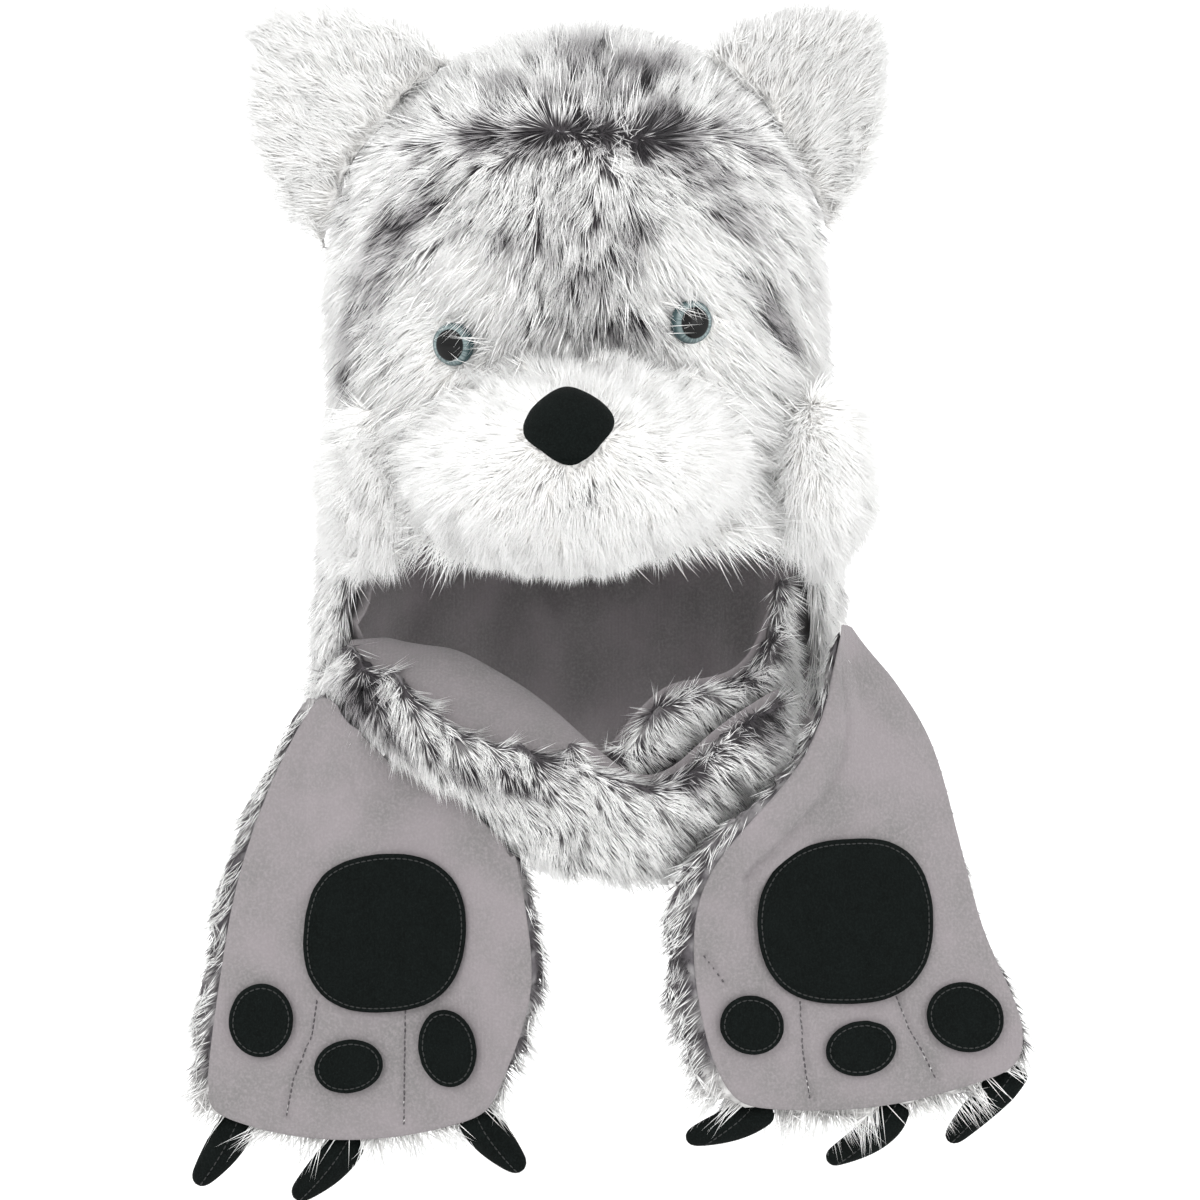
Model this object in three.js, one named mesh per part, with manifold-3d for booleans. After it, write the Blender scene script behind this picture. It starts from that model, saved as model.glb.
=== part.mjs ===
// Animal hood scarf: a faux-fur hood with a husky's face, ears and snout, a fleece lining, a neck
// band in two crossing lengths, and two hanging arms that end in paws with pads and claws.
// Millimetres, +Z up, the face looks along -Y. The origin is where the crown of the wearer's head
// meets the lining. Left and right are the viewer's, with -X on the left.

import * as THREE from "three";
import { mergeVertices } from "three/addons/utils/BufferGeometryUtils.js";
import Module from "manifold-3d";

const wasm = await Module();
wasm.setup();

// Cloths, and the gap that neighbouring pieces keep
const FLEECE = 2.5; // thickness of the fleece lining
const PILE = 12; // grey fur, from the fleece to its mean height
const CROWN_PILE = 7; // how much deeper it stands on top of the head
const ARM_PILE = 10; // the same fur on the flat arms
const LOCK_RISE = 5; // a lock's end stands this far above the hollow beside it
const FRINGE = 3; // locks reach this far past an edge, and leave it free this far between
const SEAM_GAP = 0.3;
const LAYER_STEP = 21; // from one length of scarf to the next that lies on it

// Hood, measured inside its lining
const HOOD_WIDTH = 196;
const HOOD_FRONT = 98; // from the crown's axis forward to the brow
const HOOD_BACK = 104;
const HOOD_DROP = 262; // from the crown down to the hood's front corners
const NAPE_DROP = 332; // from the crown down to the lowest hem, behind the neck
const DOME_DROP = 98; // the rounded top ends here and the sides begin
const BROW_DROP = 198; // the face opening's upper edge
const RIM_SETBACK = 52; // the opening's side rims lie this far forward of the crown's axis
const RIM_CORNER = 26; // radius where the brow turns down into a rim
const HOOD_SQUARENESS = 2.3; // 2 would be an ellipse

// Face
const FACE_ASIDE = -6; // the snout's middle lies this far from the crown's axis
const FACE_DROP = 165; // and this far below the crown
const FACE_ROLL = 5.5; // degrees, the right eye is the higher one
const SNOUT_WIDTH = 148;
const SNOUT_HEIGHT = 98;
const SNOUT_ROOT = 66; // its root lies this far forward, inside the hood's front
const SNOUT_REACH = 188; // its tip lies this far forward of the crown's axis
const NOSE_WIDTH = 38;
const NOSE_HEIGHT = 37;
const NOSE_THICKNESS = 9;
const NOSE_RAISE = 25; // above the snout's middle
const NOSE_TILT = 24; // degrees, its face looks up by this much
const EYE_DIAMETER = 18.5;
const EYE_DOME = 11; // full thickness of the eye's flattened ball
const EYE_SPREAD = 99; // from eye to eye
const EYE_ASIDE = 4; // their middle lies this far to the right of the snout's
const EYE_RAISE = 57; // above the snout's middle
const EYE_TURN = 22; // degrees, each eye looks aside by this much
const CHEEK_WIDTH = 50;
const CHEEK_HEIGHT = 76;
const CHEEK_DEPTH = 62;

// Ears
const EAR_WIDTH = 102;
const EAR_LENGTH = 100; // with the part that is sewn in against the hood
const EAR_THICKNESS = 13;
const EAR_CUP = 12; // how far the middle of the ear lies behind its edges

// Neck band: two lengths of scarf that cross under the chin
const NECK_HALF_WIDTH = 96;
const NECK_FRONT = 97;
const BAND_HEIGHT = 42;

// Arms and paws
const ARM_DROP = 178; // from an arm's top down to the paw's hem
const ARM_WIDTH = 150; // across the paw
const ARM_CREASE = 6; // depth of the folds down an arm
const HEM_MARGIN = 10; // fur that shows below the fleece
const FELT = 1.6; // pads

const GREY_FUR = new THREE.MeshStandardMaterial({ color: "#b4b1b3", roughness: 0.95 });
const WHITE_FUR = new THREE.MeshStandardMaterial({ color: "#f1f1ef", roughness: 0.95 });
const FLEECE_CLOTH = new THREE.MeshStandardMaterial({ color: "#aaa4a8", roughness: 1 });
const BLACK_FELT = new THREE.MeshStandardMaterial({ color: "#161b1a", roughness: 1 });
const EYE_PLASTIC = new THREE.MeshStandardMaterial({ color: "#8fabad", roughness: 0.1 });

// Smooth value of one column of a table at a share t from its first row to its last.
function column(rows, key, t) {
  const place = THREE.MathUtils.clamp(t, 0, 1) * (rows.length - 1);
  const index = Math.min(Math.floor(place), rows.length - 2);
  const at = (k) => rows[THREE.MathUtils.clamp(k, 0, rows.length - 1)][key];
  const [a, b, c, d] = [at(index - 1), at(index), at(index + 1), at(index + 2)];
  const f = place - index;
  const bend = f * (f * (3 * (b - c) + d - a) + 2 * a - 5 * b + 4 * c - d);
  return b + 0.5 * f * (c - a + bend);
}

// A surface is a function of u, rightwards, and v, downwards, seen from its outer side.
function normalAt(surface, u, v) {
  const step = 1e-3;
  const across = surface(u + step, v).sub(surface(u - step, v));
  const down = surface(u, v + step).sub(surface(u, v - step));
  return down.cross(across).normalize();
}

function lifted(surface, u, v, height) {
  return surface(u, v).addScaledVector(normalAt(surface, u, v), height);
}

// How far a grid point of fur stands out: the end of a lock, up to half the rise, or the hollow
// beside it. A slow wave makes some locks taller than others.
function lockAt(i, j) {
  const side = (i + j) % 2 ? 0.5 : -0.5;
  return LOCK_RISE * side * (0.75 + 0.25 * Math.sin(1.7 * i + 2.9 * j));
}

const shares = (count) => Array.from({ length: count + 1 }, (_, k) => k / count);

// Closed geometry from triangles given as triples of points, turned to face outwards.
function facingOut(triangles) {
  let volume = 0;
  for (const [a, b, c] of triangles) volume += a.dot(b.clone().cross(c));
  const points = triangles.flatMap(([a, b, c]) => (volume < 0 ? [a, c, b] : [a, b, c]));
  return new THREE.BufferGeometry().setFromPoints(points);
}

const quad = (a, b, c, d) => [
  [a, b, c],
  [a, c, d],
];

// A cloth between two grids of points, closed round its edge.
function sheet(near, far) {
  const rows = near.length - 1;
  const columns = near[0].length - 1;
  const triangles = [];
  for (let j = 0; j < rows; j++)
    for (let i = 0; i < columns; i++) {
      triangles.push(...quad(near[j][i], near[j][i + 1], near[j + 1][i + 1], near[j + 1][i]));
      triangles.push(...quad(far[j][i], far[j + 1][i], far[j + 1][i + 1], far[j][i + 1]));
    }
  for (let i = 0; i < columns; i++) {
    triangles.push(...quad(near[0][i], far[0][i], far[0][i + 1], near[0][i + 1]));
    triangles.push(...quad(near[rows][i], near[rows][i + 1], far[rows][i + 1], far[rows][i]));
  }
  for (let j = 0; j < rows; j++) {
    triangles.push(...quad(near[j][0], near[j + 1][0], far[j + 1][0], far[j][0]));
    triangles.push(
      ...quad(near[j][columns], far[j][columns], far[j + 1][columns], near[j + 1][columns]),
    );
  }
  return facingOut(triangles);
}

// A closed form from a pole, rings of equally many points, and another pole.
function rounded(start, rings, end) {
  const triangles = [];
  const count = rings[0].length;
  const last = rings[rings.length - 1];
  for (let i = 0; i < count; i++) {
    const next = (i + 1) % count;
    triangles.push([start, rings[0][i], rings[0][next]], [end, last[next], last[i]]);
    for (let j = 0; j < rings.length - 1; j++)
      triangles.push(...quad(rings[j][i], rings[j + 1][i], rings[j + 1][next], rings[j][next]));
  }
  return facingOut(triangles);
}

function solid(geometry) {
  geometry.deleteAttribute("normal");
  geometry.deleteAttribute("uv");
  const merged = mergeVertices(geometry, 1e-4);
  return new wasm.Manifold(
    new wasm.Mesh({
      numProp: 3,
      vertProperties: merged.attributes.position.array,
      triVerts: new Uint32Array(merged.index.array),
    }),
  );
}

function largestBody(shape) {
  return shape.decompose().sort((a, b) => b.volume() - a.volume())[0];
}

function meshOf(name, shape, material) {
  const made = largestBody(shape).getMesh();
  const geometry = new THREE.BufferGeometry()
    .setAttribute("position", new THREE.BufferAttribute(made.vertProperties, 3))
    .setIndex(new THREE.BufferAttribute(made.triVerts, 1));
  geometry.computeVertexNormals();
  const mesh = new THREE.Mesh(geometry, material);
  mesh.name = name;
  return mesh;
}

// What is left of a shape, in the frame of its matrix, clear of a keep-out in the part's frame.
function clearOf(shape, keepOut, matrix = new THREE.Matrix4()) {
  return shape.subtract(keepOut.transform(matrix.clone().invert().elements));
}

// Hood

// From the end of the dome down to the nape, as shares of the sizes inside the lining
const HOOD_SECTIONS = [
  { left: 1.06, right: 0.93, front: 1.0, back: 1.0 },
  { left: 1.05, right: 0.96, front: 1.0, back: 0.98 },
  { left: 1.1, right: 1.01, front: 1.0, back: 0.92 },
  { left: 1.15, right: 1.02, front: 1.0, back: 0.84 },
  { left: 1.05, right: 0.97, front: 1.0, back: 0.82 },
];

const signedPower = (value, power) => Math.sign(value) * Math.abs(value) ** power;

// The lining's inner face. u goes once round from the brow to the viewer's right, and v is 0 at
// the crown, 1 where the dome ends and 2 level with the nape's hem.
function hoodSurface(u, v) {
  const angle = 2 * Math.PI * u;
  const power = 2 / HOOD_SQUARENESS;
  const [aside, ahead] = [
    signedPower(Math.sin(angle), power),
    signedPower(Math.cos(angle), power),
  ];
  const spread = Math.sin((Math.min(v, 1) * Math.PI) / 2);
  const down =
    v < 1
      ? DOME_DROP * (1 - Math.cos((v * Math.PI) / 2))
      : DOME_DROP + (v - 1) * (NAPE_DROP - DOME_DROP);
  const at = (key) => column(HOOD_SECTIONS, key, v - 1);
  return new THREE.Vector3(
    spread * aside * (HOOD_WIDTH / 2) * at(aside < 0 ? "left" : "right"),
    -spread * ahead * (ahead > 0 ? HOOD_FRONT * at("front") : HOOD_BACK * at("back")),
    -down,
  );
}

// The hood's form at a distance outside its inner face, closed below its hem.
function hoodForm({ outside, crown = 0, locks = 0, around = 24, domeRows = 5, sideRows = 6 }) {
  const below = NAPE_DROP + 2 * PILE;
  const rows = [...shares(domeRows).slice(1), ...shares(sideRows).map((share) => 1 + share)];
  rows.splice(domeRows, 1);
  const rings = rows.map((row, j) =>
    Array.from({ length: around }, (_, i) => {
      const rise = locks * lockAt(i, j);
      const drag = rise > 0 && j < rows.length - 1 ? 0.45 * (rows[j + 1] - row) : 0;
      const deeper = crown * Math.max(0, 1 - row) ** 1.5;
      return lifted(hoodSurface, i / around, row + drag, outside + rise + deeper);
    }),
  );
  rings.push(rings[rings.length - 1].map((p) => p.clone().setZ(-below)));
  const top = new THREE.Vector3(0, 0, outside + crown);
  return solid(rounded(top, rings, new THREE.Vector3(0, 0, -below)));
}

// Everything below the hem, which falls from the front corners to the nape
function belowHem() {
  const fall = Math.atan2(NAPE_DROP - HOOD_DROP, RIM_SETBACK + HOOD_BACK);
  const size = 3 * NAPE_DROP;
  const box = new THREE.BoxGeometry(size, size, size).translate(0, 0, -size / 2);
  return solid(box.rotateX(-fall).translate(0, -RIM_SETBACK, -HOOD_DROP));
}

// Everything ahead of the rims and below the brow
function faceOpening() {
  const brow = -BROW_DROP;
  const rim = -RIM_SETBACK;
  const below = -2 * HOOD_DROP;
  const ahead = -3 * HOOD_FRONT;
  const profile = new THREE.Shape()
    .moveTo(rim, below)
    .lineTo(rim, brow - RIM_CORNER)
    .absarc(rim - RIM_CORNER, brow - RIM_CORNER, RIM_CORNER, 0, Math.PI / 2, false)
    .lineTo(ahead, brow)
    .lineTo(ahead, below)
    .closePath();
  const across = 2 * HOOD_WIDTH;
  const prism = new THREE.ExtrudeGeometry(profile, {
    depth: across,
    bevelEnabled: false,
    curveSegments: 5,
  });
  const [toY, toZ, toX] = [
    new THREE.Vector3(0, 1, 0),
    new THREE.Vector3(0, 0, 1),
    new THREE.Vector3(1, 0, 0),
  ];
  prism.applyMatrix4(new THREE.Matrix4().makeBasis(toY, toZ, toX));
  return solid(prism.translate(-across / 2, 0, 0));
}

const FUR_GRID = { crown: CROWN_PILE, locks: 1, around: 30, domeRows: 7, sideRows: 8 };
const hoodOuter = (gap) => hoodForm({ outside: PILE + gap, ...FUR_GRID });
const opening = faceOpening();
const headKeepOut = hoodOuter(SEAM_GAP);
const rimKeepOut = headKeepOut.subtract(opening.translate(0, -SEAM_GAP, -SEAM_GAP));

function hoodFur() {
  const inside = hoodForm({ outside: FLEECE + SEAM_GAP });
  return hoodOuter(0).subtract(inside).subtract(opening).subtract(belowHem());
}

function hoodLining() {
  const inside = hoodForm({ outside: 0 });
  return hoodForm({ outside: FLEECE }).subtract(inside).subtract(opening).subtract(belowHem());
}

// Face: its frame sits at the middle of the snout, level with the crown's axis

const faceMatrix = new THREE.Matrix4()
  .makeTranslation(FACE_ASIDE, 0, -FACE_DROP)
  .multiply(new THREE.Matrix4().makeRotationY(THREE.MathUtils.degToRad(-FACE_ROLL)));

// From the tip back to the root: how far out, and shares of the half width and of the height
const SNOUT_SECTIONS = [
  { out: 1.0, wide: 0.0, top: 0.05, low: -0.05 },
  { out: 0.97, wide: 0.34, top: 0.22, low: 0.15 },
  { out: 0.88, wide: 0.56, top: 0.31, low: 0.27 },
  { out: 0.72, wide: 0.74, top: 0.38, low: 0.35 },
  { out: 0.5, wide: 0.88, top: 0.45, low: 0.39 },
  { out: 0.25, wide: 0.97, top: 0.52, low: 0.4 },
  { out: 0.0, wide: 1.0, top: 0.56, low: 0.39 },
];

// u goes round from below to the viewer's right, and v runs from the tip to the root.
function snoutSurface(u, v) {
  const angle = 2 * Math.PI * u;
  const [aside, low] = [Math.sin(angle), Math.cos(angle)];
  const at = (key) => column(SNOUT_SECTIONS, key, v);
  return new THREE.Vector3(
    (aside * at("wide") * SNOUT_WIDTH) / 2,
    -(SNOUT_ROOT + at("out") * (SNOUT_REACH - SNOUT_ROOT)),
    -low * SNOUT_HEIGHT * (low > 0 ? at("low") : at("top")),
  );
}

function snoutForm(gap) {
  const [around, rows] = [24, 9];
  const rings = shares(rows)
    .slice(1)
    .map((row, j) =>
      Array.from({ length: around }, (_, i) => {
        const rise = j > 0 ? lockAt(i, j) : 0;
        return lifted(snoutSurface, i / around, row, gap + rise);
      }),
    );
  const tip = new THREE.Vector3(0, -SNOUT_REACH - gap, snoutSurface(0, 0).z);
  return solid(rounded(tip, rings, new THREE.Vector3(0, -SNOUT_ROOT, 0)));
}

// Places of the cheeks: their middle in shares of the hood's half width, and above the brow in
// shares of their own height
const CHEEKS = [
  { name: "cheek_left", aside: -0.9, raise: 0.3 },
  { name: "cheek_right", aside: 0.96, raise: 0.36 },
];

// A ball of locks with its own half sizes
function furBall(halfX, halfY, halfZ, around, rows) {
  const rings = shares(rows)
    .slice(1, -1)
    .map((row, j) =>
      Array.from({ length: around }, (_, i) => {
        const [turn, fall] = [2 * Math.PI * (i / around), Math.PI * row];
        const rise = lockAt(i, j);
        return new THREE.Vector3(
          (halfX + rise) * Math.sin(fall) * Math.sin(turn),
          -(halfY + rise) * Math.sin(fall) * Math.cos(turn),
          (halfZ + rise) * Math.cos(fall),
        );
      }),
    );
  return solid(
    rounded(new THREE.Vector3(0, 0, halfZ), rings, new THREE.Vector3(0, 0, -halfZ - LOCK_RISE)),
  );
}

// Nose: a rounded diamond, wider above, domed in front
function noseShape() {
  const [around, rows] = [20, 4];
  const outline = (angle) => {
    const [aside, up] = [Math.sin(angle), -Math.cos(angle)];
    const pinch = 1 / (Math.abs(aside) ** 1.5 + Math.abs(up) ** 1.5) ** (1 / 1.5);
    const flatTop = up > 0 ? 0.88 : 1;
    return new THREE.Vector2(
      (aside * pinch * NOSE_WIDTH) / 2,
      (up * pinch * flatTop * NOSE_HEIGHT) / 2 + NOSE_HEIGHT * 0.06,
    );
  };
  const ring = (share, y) =>
    Array.from({ length: around }, (_, i) => {
      const edge = outline((2 * Math.PI * i) / around).multiplyScalar(share);
      return new THREE.Vector3(edge.x, y, edge.y);
    });
  const front = shares(rows)
    .slice(1)
    .map((share) =>
      ring(Math.sin((share * Math.PI) / 2), -NOSE_THICKNESS * Math.cos((share * Math.PI) / 2)),
    );
  const back = ring(1, NOSE_THICKNESS);
  return solid(
    rounded(
      new THREE.Vector3(0, -NOSE_THICKNESS, 0),
      [...front, back],
      new THREE.Vector3(0, NOSE_THICKNESS, 0),
    ),
  );
}

function eyeShape(gap) {
  const ball = new THREE.SphereGeometry(EYE_DIAMETER / 2 + gap, 14, 8);
  const flat = (EYE_DOME / 2 + gap) / (EYE_DIAMETER / 2 + gap);
  return solid(ball.scale(1, flat, 1));
}

// Where a straight line along Y through x, z in the part's frame meets the fur's outer form
function furFrontAt(x, z) {
  let best = 0;
  let miss = Infinity;
  for (const u of shares(90).map((share) => (share - 0.5) / 2))
    for (const v of shares(80).map((share) => 2 * share)) {
      const p = lifted(hoodSurface, u, v, PILE);
      const off = Math.hypot(p.x - x, p.z - z);
      if (off < miss) [miss, best] = [off, p.y];
    }
  return best;
}

// Ears

// From the tip down to the base: shares of the half width
const EAR_SECTIONS = [
  { half: 0.32 },
  { half: 0.6 },
  { half: 0.77 },
  { half: 0.88 },
  { half: 0.95 },
  { half: 1.0 },
  { half: 1.0 },
];

function earSurface(u, v) {
  const half = column(EAR_SECTIONS, "half", v) * (EAR_WIDTH / 2);
  const aside = 2 * u - 1;
  const tipDrop = 0.16 * (1 - v) ** 3 * aside * aside;
  return new THREE.Vector3(
    aside * half,
    EAR_CUP * (1 - aside * aside) * (0.4 + 0.6 * v),
    EAR_LENGTH * (1 - v - tipDrop),
  );
}

function earShape() {
  const [columns, rows] = [8, 8];
  const grid = (side) =>
    shares(rows).map((v, j) =>
      shares(columns).map((u, i) => {
        const edge = Math.min(1, 3 * Math.min(u, 1 - u, v) + 0.35);
        const inner = i > 0 && i < columns && j > 0;
        const rise = inner ? lockAt(i, j) : 0;
        return lifted(earSurface, u, v, side * ((EAR_THICKNESS / 2) * edge + rise));
      }),
    );
  return solid(sheet(grid(1), grid(-1)));
}

// Places of the ears: their base's middle in shares of the hood's half width and of its dome,
// how far forward, the lean outwards and the turn of the front to the side, in degrees
const EARS = [
  { name: "ear_left", aside: -0.74, down: 0.53, ahead: 12, lean: -45, turn: -8, size: 1.0 },
  { name: "ear_right", aside: 0.6, down: 0.5, ahead: 12, lean: 44, turn: 8, size: 0.93 },
];

// Neck band

// The two lengths, from the viewer's left to right: bearing round the neck from straight ahead in
// degrees, the top edge's drop as a share of the hood's, the height as a share of the band's, and
// how far the fleece goes on inside the top edge, rising and set back, in millimetres
const OVER_BAND = [
  { bearing: -63, top: 0.93, height: 0.36, rise: 3, back: 10 },
  { bearing: -50, top: 0.957, height: 0.6, rise: 8, back: 22 },
  { bearing: -40, top: 0.973, height: 0.7, rise: 12, back: 28 },
  { bearing: -32, top: 1.027, height: 0.52, rise: 22, back: 30 },
  { bearing: -24, top: 1.057, height: 0.45, rise: 24, back: 30 },
  { bearing: -17, top: 1.062, height: 0.78, rise: 20, back: 28 },
  { bearing: -9, top: 1.068, height: 1.08, rise: 14, back: 24 },
  { bearing: -1, top: 1.08, height: 1.1, rise: 7, back: 16 },
  { bearing: 8, top: 1.113, height: 0.97, rise: 2, back: 1 },
  { bearing: 17, top: 1.11, height: 0.94, rise: 2, back: 1 },
  { bearing: 28, top: 1.04, height: 1.05, rise: 2, back: 1 },
  { bearing: 43, top: 0.99, height: 1.0, rise: 2, back: 1 },
];
const UNDER_BAND = [
  { bearing: -46, top: 1.1, height: 0.66, rise: 2, back: 1 },
  { bearing: -34, top: 1.137, height: 0.7, rise: 2, back: 1 },
  { bearing: -20, top: 1.145, height: 0.75, rise: 2, back: 1 },
  { bearing: -8, top: 1.137, height: 0.8, rise: 2, back: 1 },
  { bearing: 2, top: 1.1, height: 0.95, rise: 2, back: 1 },
  { bearing: 11, top: 1.03, height: 1.2, rise: 2, back: 1 },
  { bearing: 20, top: 0.985, height: 1.35, rise: 2, back: 1 },
  { bearing: 30, top: 0.98, height: 1.4, rise: 2, back: 1 },
  { bearing: 39, top: 0.97, height: 1.4, rise: 2, back: 1 },
  { bearing: 47, top: 0.93, height: 1.5, rise: 2, back: 1 },
  { bearing: 53, top: 0.87, height: 1.6, rise: 2, back: 1 },
  { bearing: 57, top: 0.81, height: 1.7, rise: 2, back: 1 },
];

// v runs from -1, the inner end of the fleece, over 0, the top edge, to 1, the bottom edge.
function bandSurface({ rows, layer, bulge }) {
  return (u, v) => {
    const at = (key) => column(rows, key, u);
    const bearing = THREE.MathUtils.degToRad(at("bearing"));
    const [low, inner] = [Math.max(v, 0), Math.max(-v, 0)];
    const ruffle = 1.2 * Math.sin(9 * bearing + 1);
    const swell = 4 * bulge * low * (1 - low) + ruffle + layer * LAYER_STEP;
    const out = swell - inner * at("back");
    const drop = at("top") * HOOD_DROP + low * at("height") * BAND_HEIGHT;
    return new THREE.Vector3(
      (NECK_HALF_WIDTH + out) * Math.sin(bearing),
      -(NECK_FRONT + out) * Math.cos(bearing),
      -drop + Math.sin((inner * Math.PI) / 2) * at("rise"),
    );
  };
}

// Grid of a surface at a height above it
function smoothGrid(surface, us, vs, height) {
  return vs.map((v) => us.map((u) => lifted(surface, u, v, height)));
}

// The same with locks, which turn every other point of the edges past them. The sizes are the
// surface's own in millimetres, across and down.
function lockGrid(surface, us, vs, height, { across, down }) {
  const [lastU, lastV] = [us.length - 1, vs.length - 1];
  const past = (index, last, size) => {
    const side = index === 0 ? -1 : index === last ? 1 : 0;
    return (side * FRINGE) / size;
  };
  return vs.map((v, j) =>
    us.map((u, i) => {
      const edge = i === 0 || i === lastU || j === 0 || j === lastV;
      const turn = (i + j) % 2 ? 1 : -1;
      const [du, dv] = [past(i, lastU, across) * turn, past(j, lastV, down) * turn];
      const rise = Math.sign(height) * (edge ? -2 : lockAt(i, j));
      return lifted(surface, u + du, v + dv, height + rise);
    }),
  );
}

// A shape with its neighbour's gap round it, on the sides that arms lie against
function withGap(shape) {
  const moved = (x) => shape.translate(x, -SEAM_GAP, -SEAM_GAP);
  return shape.add(moved(-SEAM_GAP)).add(moved(SEAM_GAP));
}

function bandPieces(band) {
  const surface = bandSurface(band);
  const size = { across: 220, down: BAND_HEIGHT };
  const [us, vs] = [shares(18), shares(4)];
  const half = SEAM_GAP / 2;
  const lined = [-1, -0.5, ...vs];
  const cloth = (near, far) => solid(sheet(near, far));
  const fur = cloth(smoothGrid(surface, us, vs, half), lockGrid(surface, us, vs, PILE, size));
  const lining = cloth(
    smoothGrid(surface, us, lined, -half - FLEECE),
    smoothGrid(surface, us, lined, -half),
  );
  return { fur, lining, keepOut: withGap(fur).add(withGap(lining)) };
}

const OVER = bandPieces({ rows: OVER_BAND, layer: 1, bulge: 5 });
const UNDER = bandPieces({ rows: UNDER_BAND, layer: 0, bulge: 1.5 });

// Arms

// From an arm's top to its hem: the places of its two edges, across as shares of the paw's width,
// down as shares of the arm's drop below its top, and ahead as shares of the hood's front. Bow is
// how far the row's middle hangs above the line between them.
const LEFT_ARM = [
  { lx: -0.812, lz: 0.02, la: 0.714, rx: -0.177, rz: 0.4, ra: 1.235, bow: 0.037 },
  { lx: -0.926, lz: 0.162, la: 0.755, rx: -0.144, rz: 0.514, ra: 1.255, bow: 0.02 },
  { lx: -1.024, lz: 0.341, la: 0.816, rx: -0.119, rz: 0.653, ra: 1.265, bow: 0 },
  { lx: -1.085, lz: 0.507, la: 0.898, rx: -0.125, rz: 0.732, ra: 1.255, bow: -0.02 },
  { lx: -1.125, lz: 0.72, la: 0.98, rx: -0.155, rz: 0.821, ra: 1.235, bow: -0.045 },
  { lx: -1.156, lz: 0.93, la: 1.02, rx: -0.216, rz: 0.933, ra: 1.224, bow: -0.075 },
  { lx: -1.14, lz: 1.02, la: 1.04, rx: -0.255, rz: 1.01, ra: 1.215, bow: -0.09 },
];
const RIGHT_ARM = [
  { lx: 0.666, lz: 0.003, la: 0.867, rx: 0.768, rz: 0.024, ra: 0.673, bow: 0 },
  { lx: 0.646, lz: 0.112, la: 0.93, rx: 0.872, rz: 0.13, ra: 0.694, bow: 0 },
  { lx: 0.572, lz: 0.252, la: 1.11, rx: 0.955, rz: 0.222, ra: 0.735, bow: 0 },
  { lx: 0.43, lz: 0.35, la: 1.3, rx: 1.004, rz: 0.317, ra: 0.776, bow: 0 },
  { lx: 0.272, lz: 0.47, la: 1.37, rx: 1.043, rz: 0.426, ra: 0.837, bow: 0 },
  { lx: 0.205, lz: 0.575, la: 1.42, rx: 1.076, rz: 0.517, ra: 0.898, bow: 0 },
  { lx: 0.187, lz: 0.69, la: 1.43, rx: 1.114, rz: 0.66, ra: 0.98, bow: -0.01 },
  { lx: 0.198, lz: 0.795, la: 1.449, rx: 1.18, rz: 0.775, ra: 1.04, bow: -0.02 },
  { lx: 0.223, lz: 0.91, la: 1.429, rx: 1.24, rz: 0.87, ra: 1.1, bow: -0.035 },
  { lx: 0.273, lz: 1.017, la: 1.408, rx: 1.253, rz: 0.955, ra: 1.13, bow: -0.055 },
  { lx: 0.36, lz: 1.075, la: 1.39, rx: 1.2, rz: 1.035, ra: 1.15, bow: -0.076 },
];

// An arm hangs from the neck band at its pin, which is a share of its own width and of the neck's.
function across({ pin }, share) {
  return pin.neck * NECK_HALF_WIDTH + (share - pin.arm) * ARM_WIDTH;
}

function armSurface(arm) {
  const { rows, top, fold } = arm;
  return (u, v) => {
    const between = (left, right) =>
      THREE.MathUtils.lerp(column(rows, left, v), column(rows, right, v), u);
    const bow = 4 * u * (1 - u) * column(rows, "bow", v);
    return new THREE.Vector3(
      across(arm, between("lx", "rx")),
      -between("la", "ra") * HOOD_FRONT - ARM_CREASE * fold(u, v),
      -top * HOOD_DROP - (between("lz", "rz") - bow) * ARM_DROP,
    );
  };
}

const bump = (value) => Math.exp(-value * value);
const ramp = THREE.MathUtils.smoothstep;

// Soft folds run down from the left arm's top and fade above the pads.
const leftFold = (u, v) => {
  const fade = 1 - ramp(v, 0.1, 0.5);
  return fade * (0.8 * bump((u - 0.3 - 0.2 * v) / 0.1) - 0.5 * bump((u - 0.52) / 0.13));
};

// The right arm's inner third laps forward over the rest and ends in a fold that fades out.
const rightFold = (u, v) => {
  const line = 0.36 * Math.min(1, (v + 0.03) / 0.15);
  const lap = 1 - ramp(u, line - 0.01, line + 0.09);
  return 1.3 * lap * (1 - ramp(v, 0.34, 0.56));
};

// Each arm's top as a share of the hood's drop. The margins are the fur that shows beside the
// fleece, in millimetres.
const ARMS = [
  {
    name: "arm_left",
    rows: LEFT_ARM,
    top: 0.977,
    pin: { neck: -0.78, arm: -0.5 },
    fold: leftFold,
    margin: { left: 11, right: 6 },
  },
  {
    name: "arm_right",
    rows: RIGHT_ARM,
    top: 0.908,
    pin: { neck: 0.89, arm: 0.57 },
    fold: rightFold,
    margin: { left: 14, right: 4 },
  },
];

function armPieces(arm) {
  const surface = armSurface(arm);
  const [first, last] = [arm.margin.left / ARM_WIDTH, 1 - arm.margin.right / ARM_WIDTH];
  const hem = 1 - HEM_MARGIN / ARM_DROP;
  const innerUs = shares(8).map((share) => first + share * (last - first));
  const innerVs = shares(9).map((share) => share * hem);
  const [us, vs] = [
    [0, ...innerUs, 1],
    [...innerVs, 1],
  ];
  const half = SEAM_GAP / 2;
  const size = { across: ARM_WIDTH, down: ARM_DROP };
  const cloth = (low, high) =>
    solid(
      sheet(
        smoothGrid(surface, innerUs, innerVs, low),
        smoothGrid(surface, innerUs, innerVs, high),
      ),
    );
  return {
    surface,
    fur: solid(
      sheet(smoothGrid(surface, us, vs, -half), lockGrid(surface, us, vs, -ARM_PILE, size)),
    ),
    lining: cloth(half, half + FLEECE),
    keepOut: cloth(-half, half + FLEECE + SEAM_GAP),
  };
}

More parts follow.
